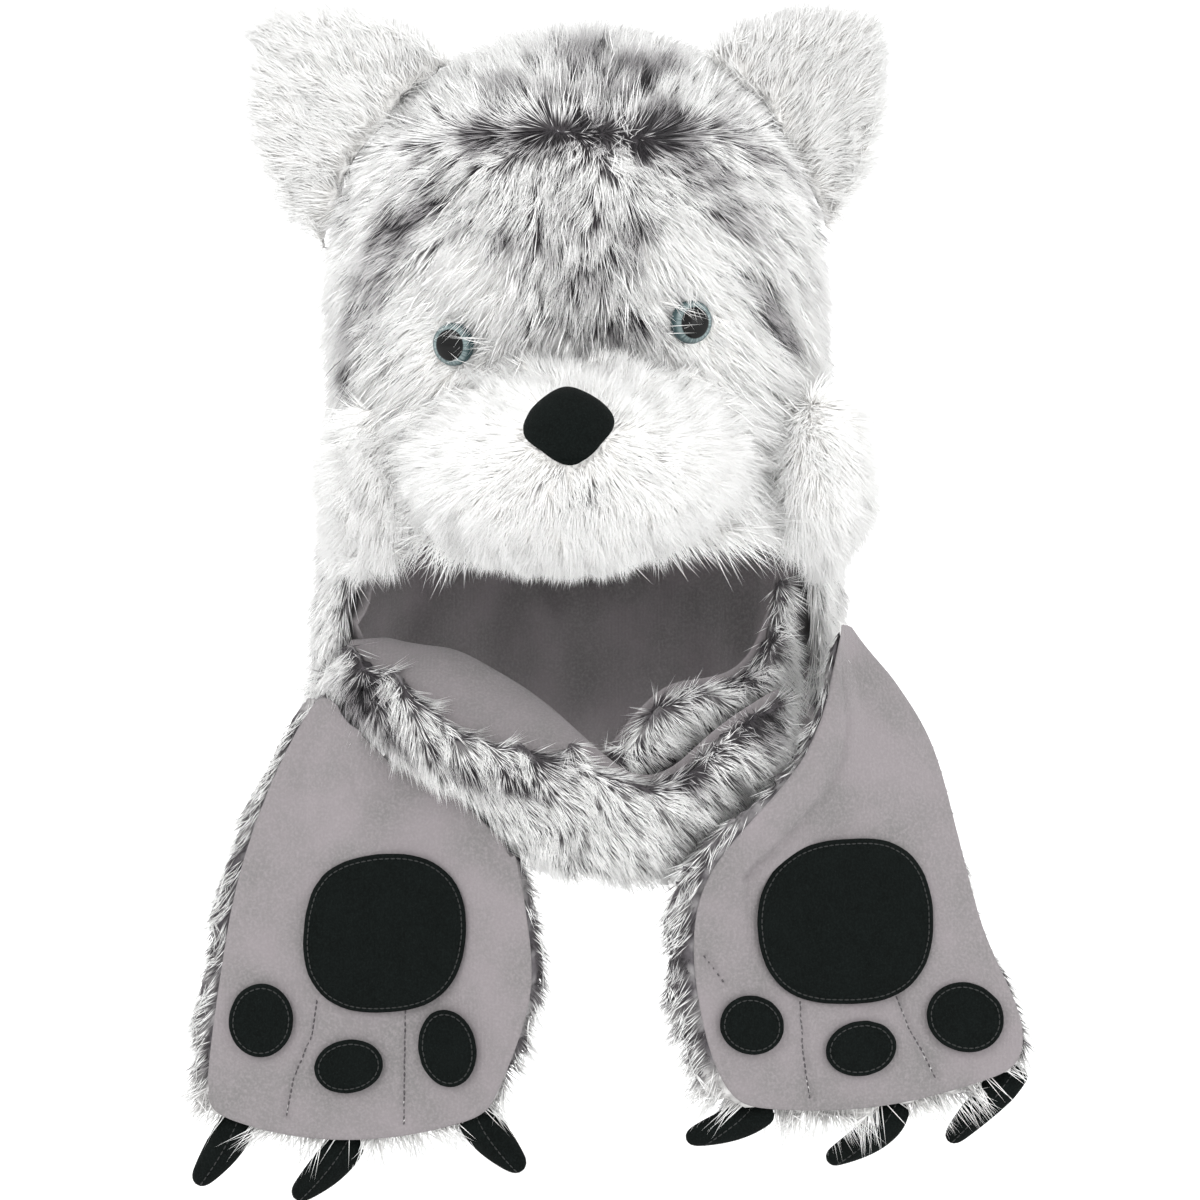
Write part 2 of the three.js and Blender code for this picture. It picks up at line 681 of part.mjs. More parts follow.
// The u and v at which an arm's surface has this x and z
function placeOn(surface, x, z) {
  let [u, v] = [0.5, 0.7];
  const step = 1e-3;
  for (let k = 0; k < 8; k++) {
    const p = surface(u, v);
    const du = surface(u + step, v).sub(p).divideScalar(step);
    const dv = surface(u, v + step).sub(p).divideScalar(step);
    const [ex, ez] = [x - p.x, z - p.z];
    const det = du.x * dv.z - dv.x * du.z;
    u += (ex * dv.z - dv.x * ez) / det;
    v += (du.x * ez - ex * du.z) / det;
  }
  return [u, v];
}

// Felt pads: their middle as shares of the paw's width and the arm's drop, half sizes as shares of
// the paw's width, a tilt in degrees, how far the outline leans to its upper right, and how far it
// is drawn in at one bearing, in degrees anticlockwise from the viewer's right
const LEFT_PADS = [
  { name: "palm", x: -0.56, z: 0.594, wide: 0.239, tall: 0.227, tilt: 0, skew: 0.05, nip: 0.08, at: -45 },
  { name: "toe_1", x: -0.921, z: 0.798, wide: 0.092, tall: 0.104, tilt: -12, skew: 0, nip: 0.03, at: 0 },
  { name: "toe_2", x: -0.673, z: 0.9, wide: 0.1, tall: 0.075, tilt: 14, skew: 0, nip: 0.04, at: -60 },
  { name: "toe_3", x: -0.393, z: 0.848, wide: 0.082, tall: 0.111, tilt: 6, skew: 0, nip: 0.05, at: -20 },
];
const RIGHT_PADS = [
  { name: "palm", x: 0.695, z: 0.66, wide: 0.26, tall: 0.231, tilt: 0, skew: -0.03, nip: 0.08, at: -120 },
  { name: "toe_1", x: 0.439, z: 0.87, wide: 0.093, tall: 0.08, tilt: -28, skew: 0, nip: 0.04, at: -140 },
  { name: "toe_2", x: 0.749, z: 0.94, wide: 0.101, tall: 0.076, tilt: 2, skew: 0, nip: 0.03, at: -90 },
  { name: "toe_3", x: 1.039, z: 0.877, wide: 0.113, tall: 0.09, tilt: -20, skew: 0, nip: 0.05, at: 150 },
];

function padShape(pad, arm, pieces) {
  const [around, rings] = pad.name === "palm" ? [20, 2] : [14, 1];
  const tilt = THREE.MathUtils.degToRad(pad.tilt);
  const nipAt = THREE.MathUtils.degToRad(pad.at);
  const point = (share, angle, height) => {
    const nip = pad.nip * Math.cos(angle - nipAt);
    const swell = share * ARM_WIDTH * (1 + pad.skew * Math.sin(2 * angle) - nip);
    const [a, b] = [swell * pad.wide * Math.cos(angle), swell * pad.tall * Math.sin(angle)];
    const x = across(arm, pad.x) + a * Math.cos(tilt) - b * Math.sin(tilt);
    const z = -arm.top * HOOD_DROP - pad.z * ARM_DROP + a * Math.sin(tilt) + b * Math.cos(tilt);
    return lifted(pieces.surface, ...placeOn(pieces.surface, x, z), height);
  };
  const front = SEAM_GAP / 2 + FLEECE + SEAM_GAP + FELT;
  const circle = (share, height) =>
    Array.from({ length: around }, (_, i) => point(share, (2 * Math.PI * i) / around, height));
  const steps = shares(rings).slice(1);
  const faces = [
    ...steps.map((share) => circle(share, front)),
    ...steps.reverse().map((share) => circle(share, 0)),
  ];
  return solid(rounded(point(0, 0, front), faces, point(0, 0, 0))).subtract(pieces.keepOut);
}

// Claws: stuffed felt, as a place along the arm's hem, a length below the fur, a width, a direction
// in degrees from straight down towards the viewer's right, and how far the tip hooks, towards the
// viewer's left
const LEFT_CLAWS = [
  { name: "claw_1", u: 0.15, length: 27, width: 13, swing: -28, hook: 3 },
  { name: "claw_2", u: 0.5, length: 28, width: 13, swing: -36, hook: 4 },
  { name: "claw_3", u: 0.93, length: 25, width: 14, swing: 37, hook: -2 },
];
const RIGHT_CLAWS = [
  { name: "claw_1", u: 0.1, length: 25, width: 11, swing: -68, hook: 1 },
  { name: "claw_2", u: 0.57, length: 26, width: 12, swing: -34, hook: 10 },
  { name: "claw_3", u: 0.96, length: 31, width: 11, swing: -52, hook: -4 },
];
const CLAW_ROOT = 9; // how far a claw's root reaches into the paw's hem

// From the sewn root to the tip: shares of the half width
const CLAW_SECTIONS = [
  { half: 0.7 },
  { half: 0.95 },
  { half: 1.0 },
  { half: 0.9 },
  { half: 0.68 },
  { half: 0.36 },
];

function clawShape(claw, gap = 0) {
  const [around, rows] = [8, 5];
  const whole = claw.length + CLAW_ROOT;
  const rings = shares(rows).map((share) => {
    const half = (column(CLAW_SECTIONS, "half", share) * claw.width) / 2 + gap;
    const aside = -claw.hook * share * share;
    return Array.from({ length: around }, (_, i) => {
      const angle = (-2 * Math.PI * i) / around;
      return new THREE.Vector3(
        half * Math.cos(angle) + aside,
        0.72 * half * Math.sin(angle),
        CLAW_ROOT - 0.95 * share * whole,
      );
    });
  });
  const top = new THREE.Vector3(0, 0, CLAW_ROOT + gap);
  return solid(rounded(top, rings, new THREE.Vector3(-claw.hook, 0, -claw.length - gap)));
}

function clawMatrix(claw, pieces) {
  const root = lifted(pieces.surface, claw.u, 1, -ARM_PILE / 2);
  const turn = new THREE.Matrix4().makeRotationY(THREE.MathUtils.degToRad(-claw.swing));
  return new THREE.Matrix4().makeTranslation(root).multiply(turn);
}

// Assembly

const root = new THREE.Group();

function placed(mesh, matrix) {
  mesh.applyMatrix4(matrix);
  return mesh;
}

function addFace(group) {
  const snout = clearOf(snoutForm(0), headKeepOut, faceMatrix);
  const snoutKeepOut = snoutForm(SEAM_GAP).transform(faceMatrix.elements);
  group.add(placed(meshOf("snout", snout, WHITE_FUR), faceMatrix));

  const noseTip = new THREE.Matrix4()
    .makeTranslation(0, -SNOUT_REACH + NOSE_THICKNESS, NOSE_RAISE)
    .multiply(new THREE.Matrix4().makeRotationX(THREE.MathUtils.degToRad(-NOSE_TILT)));
  const noseMatrix = faceMatrix.clone().multiply(noseTip);
  const nose = clearOf(noseShape(), snoutKeepOut, noseMatrix);
  group.add(placed(meshOf("nose", nose, BLACK_FELT), noseMatrix));

  for (const cheek of CHEEKS) {
    const matrix = new THREE.Matrix4().makeTranslation(
      (cheek.aside * HOOD_WIDTH) / 2,
      -RIM_SETBACK - CHEEK_DEPTH / 4,
      -BROW_DROP + cheek.raise * CHEEK_HEIGHT,
    );
    const ball = furBall(CHEEK_WIDTH / 2, CHEEK_DEPTH / 2, CHEEK_HEIGHT / 2, 14, 9);
    const clear = clearOf(clearOf(ball, headKeepOut, matrix), snoutKeepOut, matrix);
    group.add(placed(meshOf(cheek.name, clear, WHITE_FUR), matrix));
  }
}

function eyeMatrix(side) {
  const aside = EYE_ASIDE + (side * EYE_SPREAD) / 2;
  const place = new THREE.Vector3(aside, 0, EYE_RAISE).applyMatrix4(faceMatrix);
  place.y = furFrontAt(place.x, place.z) + EYE_DOME / 4;
  return new THREE.Matrix4()
    .makeTranslation(place)
    .multiply(new THREE.Matrix4().makeRotationZ(THREE.MathUtils.degToRad(side * EYE_TURN)));
}

function addHood() {
  const hood = new THREE.Group();
  let fur = hoodFur();
  for (const side of [-1, 1]) {
    const matrix = eyeMatrix(side);
    fur = fur.subtract(eyeShape(SEAM_GAP).transform(matrix.elements));
    const name = side < 0 ? "eye_left" : "eye_right";
    hood.add(placed(meshOf(name, eyeShape(0), EYE_PLASTIC), matrix));
  }
  hood.add(meshOf("hood_fur", fur, GREY_FUR));
  hood.add(meshOf("hood_lining", hoodLining(), FLEECE_CLOTH));
  for (const ear of EARS) {
    const lean = new THREE.Matrix4().makeRotationY(THREE.MathUtils.degToRad(ear.lean));
    const turn = new THREE.Matrix4().makeRotationZ(THREE.MathUtils.degToRad(ear.turn));
    const matrix = new THREE.Matrix4()
      .makeTranslation((ear.aside * HOOD_WIDTH) / 2, -ear.ahead, -ear.down * DOME_DROP)
      .multiply(turn)
      .multiply(lean)
      .scale(new THREE.Vector3(ear.size, ear.size, ear.size));
    const shape = clearOf(earShape(), headKeepOut, matrix);
    hood.add(placed(meshOf(ear.name, shape, WHITE_FUR), matrix));
  }
  addFace(hood);
  root.add(hood);
}

function addNeckBand() {
  const neck = new THREE.Group();
  const size = 3 * NAPE_DROP;
  const box = new THREE.BoxGeometry(size, size, size);
  const behindRims = solid(box.translate(0, size / 2 - RIM_SETBACK - SEAM_GAP, 0));
  for (const [name, band] of [
    ["over_band", OVER],
    ["under_band", UNDER],
  ]) {
    neck.add(meshOf(name + "_fur", band.fur.subtract(behindRims), GREY_FUR));
    neck.add(meshOf(name + "_lining", band.lining.subtract(behindRims), FLEECE_CLOTH));
  }
  root.add(neck);
}

function addArm(arm, pads, claws) {
  const group = new THREE.Group();
  const pieces = armPieces(arm);
  const clear = (shape) =>
    shape.subtract(rimKeepOut).subtract(OVER.keepOut).subtract(UNDER.keepOut);
  let fur = clear(pieces.fur);
  for (const claw of claws) {
    const matrix = clawMatrix(claw, pieces);
    fur = fur.subtract(clawShape(claw, SEAM_GAP).transform(matrix.elements));
    const name = arm.name + "_" + claw.name;
    group.add(placed(meshOf(name, clawShape(claw), BLACK_FELT), matrix));
  }
  group.add(meshOf(arm.name + "_fur", fur, GREY_FUR));
  group.add(meshOf(arm.name + "_lining", clear(pieces.lining), FLEECE_CLOTH));
  for (const pad of pads) {
    const name = arm.name + "_pad_" + pad.name;
    group.add(meshOf(name, padShape(pad, arm, pieces), BLACK_FELT));
  }
  root.add(group);
}

addHood();
addNeckBand();
addArm(ARMS[0], LEFT_PADS, LEFT_CLAWS);
addArm(ARMS[1], RIGHT_PADS, RIGHT_CLAWS);

export default root;
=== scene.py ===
# %% [markdown]
# # An animal hood scarf in faux fur, fleece and felt
#
# The real thing is a hood with a husky's face. Its neck runs out into two lengths of scarf that
# cross under the chin and hang down as arms, each with a paw. Deep faux fur is on the outside, and
# brushed fleece on the inside. The pads, the nose and the claws are black felt.
#
# The CAD model holds the true forms. This lesson dresses them: it grows the fur strand by strand,
# softens the cloth, sews the stitches and sets the eyes. Lengths are metres here, so a size that is
# easier to read in millimetres is multiplied by `MM`.

# %% Load the frame
import math
from collections import namedtuple

import bmesh
import bpy
import numpy as np
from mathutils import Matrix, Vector, noise
from mathutils.bvhtree import BVHTree


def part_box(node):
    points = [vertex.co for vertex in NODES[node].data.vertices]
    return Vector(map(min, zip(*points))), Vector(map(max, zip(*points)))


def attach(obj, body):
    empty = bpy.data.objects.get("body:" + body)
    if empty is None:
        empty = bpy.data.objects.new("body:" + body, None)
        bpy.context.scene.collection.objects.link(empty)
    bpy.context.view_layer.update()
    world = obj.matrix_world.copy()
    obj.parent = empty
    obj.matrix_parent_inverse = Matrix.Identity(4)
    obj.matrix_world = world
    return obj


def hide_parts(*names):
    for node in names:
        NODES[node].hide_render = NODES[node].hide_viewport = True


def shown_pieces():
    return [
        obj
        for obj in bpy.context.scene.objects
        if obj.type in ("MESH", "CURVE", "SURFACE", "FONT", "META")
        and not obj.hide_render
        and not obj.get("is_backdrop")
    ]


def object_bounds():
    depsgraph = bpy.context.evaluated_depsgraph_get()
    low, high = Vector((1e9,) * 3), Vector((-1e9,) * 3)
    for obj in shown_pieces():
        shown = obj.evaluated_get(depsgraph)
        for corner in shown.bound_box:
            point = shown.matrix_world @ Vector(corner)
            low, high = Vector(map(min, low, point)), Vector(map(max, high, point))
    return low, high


MM = 0.001
SIDES = ("left", "right")
BACKWARDS = np.array((0, 1, 0))
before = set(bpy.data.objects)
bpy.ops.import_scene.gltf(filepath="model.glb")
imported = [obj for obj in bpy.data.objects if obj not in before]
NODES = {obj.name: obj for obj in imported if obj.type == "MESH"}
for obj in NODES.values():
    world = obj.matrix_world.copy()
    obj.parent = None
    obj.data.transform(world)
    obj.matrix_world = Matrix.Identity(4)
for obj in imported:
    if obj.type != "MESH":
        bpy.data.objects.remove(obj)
cad_box = [list(corner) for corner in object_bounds()]
print("CAD nodes:", len(NODES))


# %% [markdown]
# ## Small helpers
#
# Colours are picked as sRGB hex codes, as in a paint program, but Blender's shaders work in
# linear light, so one function turns the one into the other. A second adds any node to any tree
# with its settings and its links, so that each tree below reads as a list of what it does.


# %% Helpers for colours and nodes
def linear(code):
    """Linear RGBA from an sRGB hex code."""
    shares = [int(code[k : k + 2], 16) / 255 for k in (1, 3, 5)]
    curve = [c / 12.92 if c <= 0.04045 else ((c + 0.055) / 1.055) ** 2.4 for c in shares]
    return [*curve, 1.0]


def link(source, socket):
    """Links an output, or a node's first output in use, to an input."""
    if isinstance(source, bpy.types.Node):
        source = next(output for output in source.outputs if output.enabled)
    socket.id_data.links.new(source, socket)


def add(tree, kind, inputs=None, **settings):
    """Adds a node with its settings. Each input is given a value, or a node or socket to link."""
    made = tree.nodes.new(kind)
    for key, value in settings.items():
        setattr(made, key, value)
    for key, value in (inputs or {}).items():
        named = [socket for socket in made.inputs if socket.enabled and socket.name == key]
        socket = named[0] if named else made.inputs[key]
        if isinstance(value, (bpy.types.Node, bpy.types.NodeSocket)):
            link(value, socket)
        else:
            socket.default_value = value
    return made


# %% Kinds of node that are used often
MATH, VECTOR, MIX = "ShaderNodeMath", "ShaderNodeVectorMath", "ShaderNodeMix"
CLIMB, NOISE, LEVEL = "ShaderNodeMapRange", "ShaderNodeTexNoise", "ShaderNodeHueSaturation"
NAMED, STORE = "GeometryNodeInputNamedAttribute", "GeometryNodeStoreNamedAttribute"
RANDOM, STORED, BUMP = "FunctionNodeRandomValue", "ShaderNodeAttribute", "ShaderNodeBump"


# %% Helpers for meshes
def shown(name, data):
    """A new object at the origin that holds a mesh or a curve."""
    piece = bpy.data.objects.new(name, data)
    bpy.context.scene.collection.objects.link(piece)
    return piece


def modify(piece, kind, **settings):
    """Adds a modifier with its settings."""
    made = piece.modifiers.new(kind.lower(), kind)
    for key, value in settings.items():
        setattr(made, key, value)
    return made


def applied(holder, name):
    """The mesh that an object's modifiers make, as a smooth plain piece; the object itself goes."""
    graph = bpy.context.evaluated_depsgraph_get()
    mesh = bpy.data.meshes.new_from_object(holder.evaluated_get(graph))
    bpy.data.objects.remove(holder)
    mesh.name = name
    mesh.shade_smooth()
    return shown(name, mesh)


def worked(mesh, work):
    """Runs one of bmesh's operations on a mesh."""
    form = bmesh.new()
    form.from_mesh(mesh)
    work(form)
    form.to_mesh(mesh)
    form.free()


def triangles(piece):
    """How many triangles a piece has."""
    return sum(len(face.vertices) - 2 for face in piece.data.polygons)


def points_of(mesh):
    """The places and the normals of a mesh's points."""
    places, normals = np.zeros((2, len(mesh.vertices) * 3))
    mesh.vertices.foreach_get("co", places)
    mesh.vertices.foreach_get("normal", normals)
    return places.reshape(-1, 3), normals.reshape(-1, 3)


def move(piece, shifts):
    """Moves each point of a piece."""
    places, _ = points_of(piece.data)
    piece.data.vertices.foreach_set("co", (places + shifts).ravel())
    piece.data.update()


def write(mesh, name, values):
    """Stores a number or a vector for each point of a mesh, or one number for them all."""
    values = np.asarray(values, np.float32)
    if not values.ndim:
        values = np.full(len(mesh.vertices), values)
    kind, key = ("FLOAT_VECTOR", "vector") if values.ndim == 2 else ("FLOAT", "value")
    made = mesh.attributes.get(name) or mesh.attributes.new(name, kind, "POINT")
    made.data.foreach_set(key, values.ravel())


# %% Helpers for numbers and vectors
def columns(*parts):
    """An array with these columns, each of them given as a number or an array."""
    return np.stack(np.broadcast_arrays(*parts), axis=1)


def unit(vectors):
    """The vectors, one metre long."""
    return vectors / np.maximum(np.linalg.norm(vectors, axis=1), 1e-6)[:, None]


def ramp(values, start, width):
    """0 up to the start, 1 from a width past it, and straight in between."""
    return np.clip((values - start) / width, 0, 1)


def waves(places, size, seed):
    """Smooth noise from about -1 to 1 that changes over that size, one number for each place."""
    shift = Vector((seed * 7.3, seed * 3.1, seed * 5.7))
    return np.array([noise.noise(Vector(p) / size + shift) for p in places])


def stirred(places, share, size, seed):
    """Smooth noise as a vector for each place, from three seeds."""
    return columns(*(share * waves(places, size, seed + k) for k in range(3)))


def middle_of(node):
    low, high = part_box(node)
    return np.array((low + high) / 2)


# %% [markdown]
# ## Camera, light and floor
#
# The photograph looks straight at the face from a little above, through a long lens, which keeps
# the paws as large as the ears. The light is a photographer's white tent: a bright world with a
# large soft lamp at the upper left and a weaker one at the right, so that the fur keeps some shade
# on its right. The floor is plain and pale, and lies just below the lowest claw.

# %% Camera
AIM_Y = -60
AIM = Vector((4, AIM_Y, -225)) * MM
CAMERA_DISTANCE = 2.1
CAMERA_ELEVATION = math.radians(8)
LENS = 148.05  # millimetres on a 36 mm frame

away = Vector((0, -math.cos(CAMERA_ELEVATION), math.sin(CAMERA_ELEVATION)))
camera = shown("camera", bpy.data.cameras.new("camera"))
camera.data.lens = LENS
camera.data.clip_end = 200
camera.location = AIM + away * CAMERA_DISTANCE
camera.rotation_euler = away.to_track_quat("Z", "Y").to_euler()
bpy.context.scene.camera = camera
print("camera at", [round(x, 3) for x in camera.location])

# %% Light
TENT_STRENGTH = 1.72
LAMPS = {
    "key lamp": {"place": (-1.3, -1.9, 1.5), "size": 1.2, "watts": 26},
    "fill lamp": {"place": (1.8, -1.6, 0.5), "size": 1.6, "watts": 15},
}

for name, lamp in LAMPS.items():
    made = shown(name, bpy.data.lights.new(name, "AREA"))
    made.data.size = lamp["size"]
    made.data.energy = lamp["watts"]
    made.location = AIM + Vector(lamp["place"])
    made.rotation_euler = Vector(lamp["place"]).to_track_quat("Z", "Y").to_euler()

world = bpy.data.worlds.new("white tent")
world.use_nodes = True
sky = next(n for n in world.node_tree.nodes if n.type == "BACKGROUND")
sky.inputs["Color"].default_value = linear("#ffffff")
sky.inputs["Strength"].default_value = TENT_STRENGTH
bpy.context.scene.world = world
bpy.context.scene.view_settings.view_transform = "Standard"


# %% A new material
def new_material(name, **inputs):
    """A new material, its tree and its shader."""
    material = bpy.data.materials.new(name)
    material.use_nodes = True
    shader = material.node_tree.nodes["Principled BSDF"]
    for key, value in inputs.items():
        shader.inputs[key.replace("_", " ")].default_value = value
    return material, material.node_tree, shader


# %% Floor
FLOOR_GAP = 30 * MM  # below the lowest claw
FLOOR_HALF = 60.0

floor_mesh = bpy.data.meshes.new("floor")
corners = [(-1, -1), (1, -1), (1, 1), (-1, 1)]
level = cad_box[0][2] - FLOOR_GAP
floor_mesh.from_pydata([(x * FLOOR_HALF, y * FLOOR_HALF, level) for x, y in corners], [], [(0, 1, 2, 3)])
floor = shown("floor", floor_mesh)
paint, _, _ = new_material("matt studio floor", Base_Color=linear("#f8f8f8"), Roughness=0.9)
floor_mesh.materials.append(paint)
floor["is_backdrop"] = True
print("floor at", round(level, 3))

# %% [markdown]
# ## Materials
#
# Faux fur is acrylic pile on a knitted back. This one is dyed dark and then discharged at the tips,
# so each strand runs from charcoal at its root to white at its tip, and dark shows wherever the
# pile parts. Growing the strands gives that parting for free, if the material knows how far along a
# strand it is. So each strand carries three numbers: `along`, from root to tip, `tone`, from white
# fur at 0 over grey at 1 to dark at 2, and `shade`, its own small difference from its neighbours.


# %% Fur
def toned(tree, white, grey, dark):
    """The colour for the tone, from those of white, grey and dark fur, and how dark the fur is."""
    tone = add(tree, STORED, attribute_name="tone").outputs["Fac"]
    colour = linear(white)
    for start, code in ((0.0, grey), (1.0, dark)):
        share = add(tree, CLIMB, {"Value": tone, "From Min": start, "From Max": start + 1})
        colour = add(tree, MIX, {"Factor": share, "A": colour, "B": linear(code)}, data_type="RGBA")
    return colour, share


# Acrylic pile, extruded and crimped: it scatters light all round, and its tips shine a little
def pile_material(name, white_tip):
    material, tree, shader = new_material(name, Roughness=0.6, Specular_IOR_Level=0.25, Sheen_Weight=0.1)
    root, dark = toned(tree, "#f4f3f1", "#484447", "#272528")
    inputs = {"Factor": dark, "A": linear(white_tip), "B": linear("#bab7b9")}
    tip = add(tree, MIX, inputs, data_type="RGBA")
    along = add(tree, STORED, attribute_name="along").outputs["Fac"]
    shade = add(tree, STORED, attribute_name="shade").outputs["Fac"]
    own = add(tree, MATH, {0: shade, 1: -0.3, 2: along}, operation="MULTIPLY_ADD")
    late = add(tree, MATH, {0: dark, 1: -0.35, 2: own}, operation="MULTIPLY_ADD")
    inputs = {"Value": late, "From Min": -0.05, "From Max": 0.42}
    white = add(tree, CLIMB, inputs, interpolation_type="SMOOTHSTEP")
    colour = add(tree, MIX, {"Factor": white, "A": root, "B": tip}, data_type="RGBA")
    uneven = add(tree, CLIMB, {"Value": shade, "To Min": 0.93, "To Max": 1.03})
    link(add(tree, LEVEL, {"Value": uneven, "Color": colour}), shader.inputs["Base Color"])
    return material


# Knitted acrylic ground of the fur: it shows only between strands, streaked by their roots
def ground_material():
    name = "knitted ground of faux fur"
    material, tree, shader = new_material(name, Roughness=0.95, Specular_IOR_Level=0.1)
    colour, _ = toned(tree, "#f0efed", "#524f52", "#2b292c")
    place = add(tree, "ShaderNodeTexCoord").outputs["Object"]
    # The knit holds the roots in clumps, about 2.4 mm apart
    roots = add(tree, NOISE, {"Vector": place, "Scale": 420.0, "Detail": 3.0})
    inputs = {"Value": roots, "From Min": 0.3, "From Max": 0.7, "To Min": 0.85, "To Max": 1.1}
    streak = add(tree, CLIMB, inputs)
    link(add(tree, LEVEL, {"Value": streak, "Color": colour}), shader.inputs["Base Color"])
    inputs = {"Height": roots, "Strength": 0.6, "Distance": 1 * MM}
    link(add(tree, BUMP, inputs), shader.inputs["Normal"])
    return material


FUR = pile_material("tip-discharged acrylic faux fur", "#fdfdfc")
# The ears' fur is white like the muzzle's; their greyer tips are painted shade
PAINTED_SHADE_EAR_FUR = pile_material("off-white acrylic faux fur", "#f0f0ef")
GROUND = ground_material()
print("materials:", ", ".join(m.name for m in (FUR, PAINTED_SHADE_EAR_FUR, GROUND)))

# %% [markdown]
# Polar fleece is a knit whose loops are brushed until they stand as a nap. Little of the knit is
# left to see, only faint upright wales, but the nap lies in soft pinkish and greyish patches, and it
# glows a little at grazing angles. Felt is pressed fibre: black and quite matt. The light that its
# tiny tangled hairs catch is painted into its colour as fine lighter flecks, a painted glint. Both
# start from one function, with their own sizes.


# %% Fleece, felt and thread
def napped(name, colours, nap, patch, wale, sheen, rise):
    """Cloth with a nap; nap, patch and wale are the sizes of its tangle, mottling and ribs."""
    material, tree, shader = new_material(
        name, Roughness=0.96, Specular_IOR_Level=0.08, Sheen_Weight=sheen, Sheen_Roughness=0.5
    )
    place = add(tree, "ShaderNodeTexCoord").outputs["Object"]
    fine = add(tree, NOISE, {"Vector": place, "Scale": 1 / nap, "Detail": 4.0})
    wide = add(tree, NOISE, {"Vector": place, "Scale": 1 / patch, "Detail": 2.0})
    base_share = add(tree, CLIMB, {"Value": wide, "From Min": 0.35, "From Max": 0.65})
    # On fleece the fine lighter flecks are the nap's own mottling; on felt they are a painted glint of its
    # hairs
    light_share = add(tree, CLIMB, {"Value": fine, "From Min": 0.42, "From Max": 0.78})
    main, other, light = [linear(code) for code in colours]
    base = add(tree, MIX, {"Factor": base_share, "A": other, "B": main}, data_type="RGBA")
    full = add(tree, MIX, {"Factor": light_share, "A": base, "B": light}, data_type="RGBA")
    link(full, shader.inputs["Base Color"])
    inputs = {"Vector": place, "Scale": 0.314 / wale, "Distortion": 1.5, "Detail Scale": 0.5 / wale}
    ribs = add(tree, "ShaderNodeTexWave", inputs, wave_type="BANDS", bands_direction="X")
    inputs = {0: ribs.outputs["Fac"], 1: 0.25, 2: fine}
    height = add(tree, MATH, inputs, operation="MULTIPLY_ADD")
    inputs = {"Height": height, "Strength": rise, "Distance": 0.5 * MM}
    link(add(tree, BUMP, inputs), shader.inputs["Normal"])
    return material


# Brushed polyester fleece: nap tangled at 1.1 mm, wales 1.6 mm apart
FLEECE = napped(
    "brushed polar fleece", ("#797476", "#6c6a6a", "#817c7e"), 1.1 * MM, 26 * MM, 1.6 * MM, 0.15, 0.5
)
# Pressed wool-like felt: the light its hairs catch is a painted glint, fine lighter flecks 0.7 mm across
FELT = napped(
    "pressed black felt", ("#070b0a", "#050807", "#121716"), 0.7 * MM, 9 * MM, 2.2 * MM, 0.0, 0.8
)


# Spun polyester thread, a little glossier than the cloth that it sews
def thread_material(name, colour, light):
    material, tree, shader = new_material(name, Roughness=0.55)
    place = add(tree, "ShaderNodeTexCoord").outputs["Object"]
    # The two plies wind round each other every 0.7 mm; both are one colour, so the lighter and darker
    # turns are painted light and shade
    painted_twist_shading = add(tree, NOISE, {"Vector": place, "Scale": 1400.0})
    share = add(tree, CLIMB, {"Value": painted_twist_shading, "From Min": 0.4, "From Max": 0.8})
    inputs = {"Factor": share, "A": linear(colour), "B": linear(light)}
    link(add(tree, MIX, inputs, data_type="RGBA"), shader.inputs["Base Color"])
    return material


BLACK_THREAD = thread_material("black polyester thread", "#060807", "#171b1a")
GREY_THREAD = thread_material("grey polyester thread", "#332f32", "#484446")
print("materials:", ", ".join(m.name for m in (FLEECE, FELT, BLACK_THREAD, GREY_THREAD)))

# %% [markdown]
# ## The ground that the fur grows on
#
# Fur is strands on a backing. The CAD solid of each furry piece is as thick as the whole pile, and
# its surface stands for where the strands end. So the backing is a copy of it that is remeshed
# evenly, smoothed and sunk by most of the pile's depth. Strands that are grown on the copy then end
# about where the CAD surface is.
#
# Where the fleece or another piece lies against the backing, it must be bare, and it isn't sunk, so
# that no slot opens at a rim. A ray along the normal of each point finds out: if it meets one of
# those pieces within a few millimetres, no fur grows.


# %% Backings
def merged(node):
    """A copy of a CAD node's mesh with its loose triangles joined up."""
    copy = shown(node + "_copy", NODES[node].data.copy())
    worked(copy.data, lambda form: bmesh.ops.remove_doubles(form, verts=form.verts, dist=1e-5))
    copy.data.materials.clear()
    return copy


def covered(places, normals, against):
    """1 for each place whose normal runs free, 0 where one of the nodes is within its reach."""
    free = np.ones(len(places))
    for node, reach in against.items():
        mesh = NODES[node].data
        tree = BVHTree.FromPolygons([v.co for v in mesh.vertices], [p.vertices for p in mesh.polygons])
        for k in range(len(places)):
            if free[k] and tree.ray_cast(Vector(places[k]), Vector(normals[k]), reach)[0]:
                free[k] = 0.0
    return free


def backing(node, voxel, sunk, against):
    """The smooth ground under a node's fur, sunk below its surface where that is free, with its
    points' places and normals and whether they are free."""
    copy = merged(node)
    modify(copy, "REMESH", mode="VOXEL", voxel_size=voxel)
    modify(copy, "SMOOTH", factor=0.6, iterations=6)
    piece = applied(copy, node.removesuffix("_fur") + "_ground")
    piece.data.materials.append(GROUND)
    places, normals = points_of(piece.data)
    free = covered(places, normals, against)
    move(piece, -normals * (sunk * free)[:, None])
    return piece, *points_of(piece.data), free


def joined(nodes, name):
    """One mesh of several nodes, which strands are to keep clear of."""
    form = bmesh.new()
    for node in nodes:
        form.from_mesh(NODES[node].data)
    mesh = bpy.data.meshes.new(name)
    form.to_mesh(mesh)
    form.free()
    return shown(name, mesh)


def along_surface(directions, normals):
    """Directions turned to lie in the surface, one metre long."""
    return unit(directions - normals * np.sum(directions * normals, axis=1)[:, None])


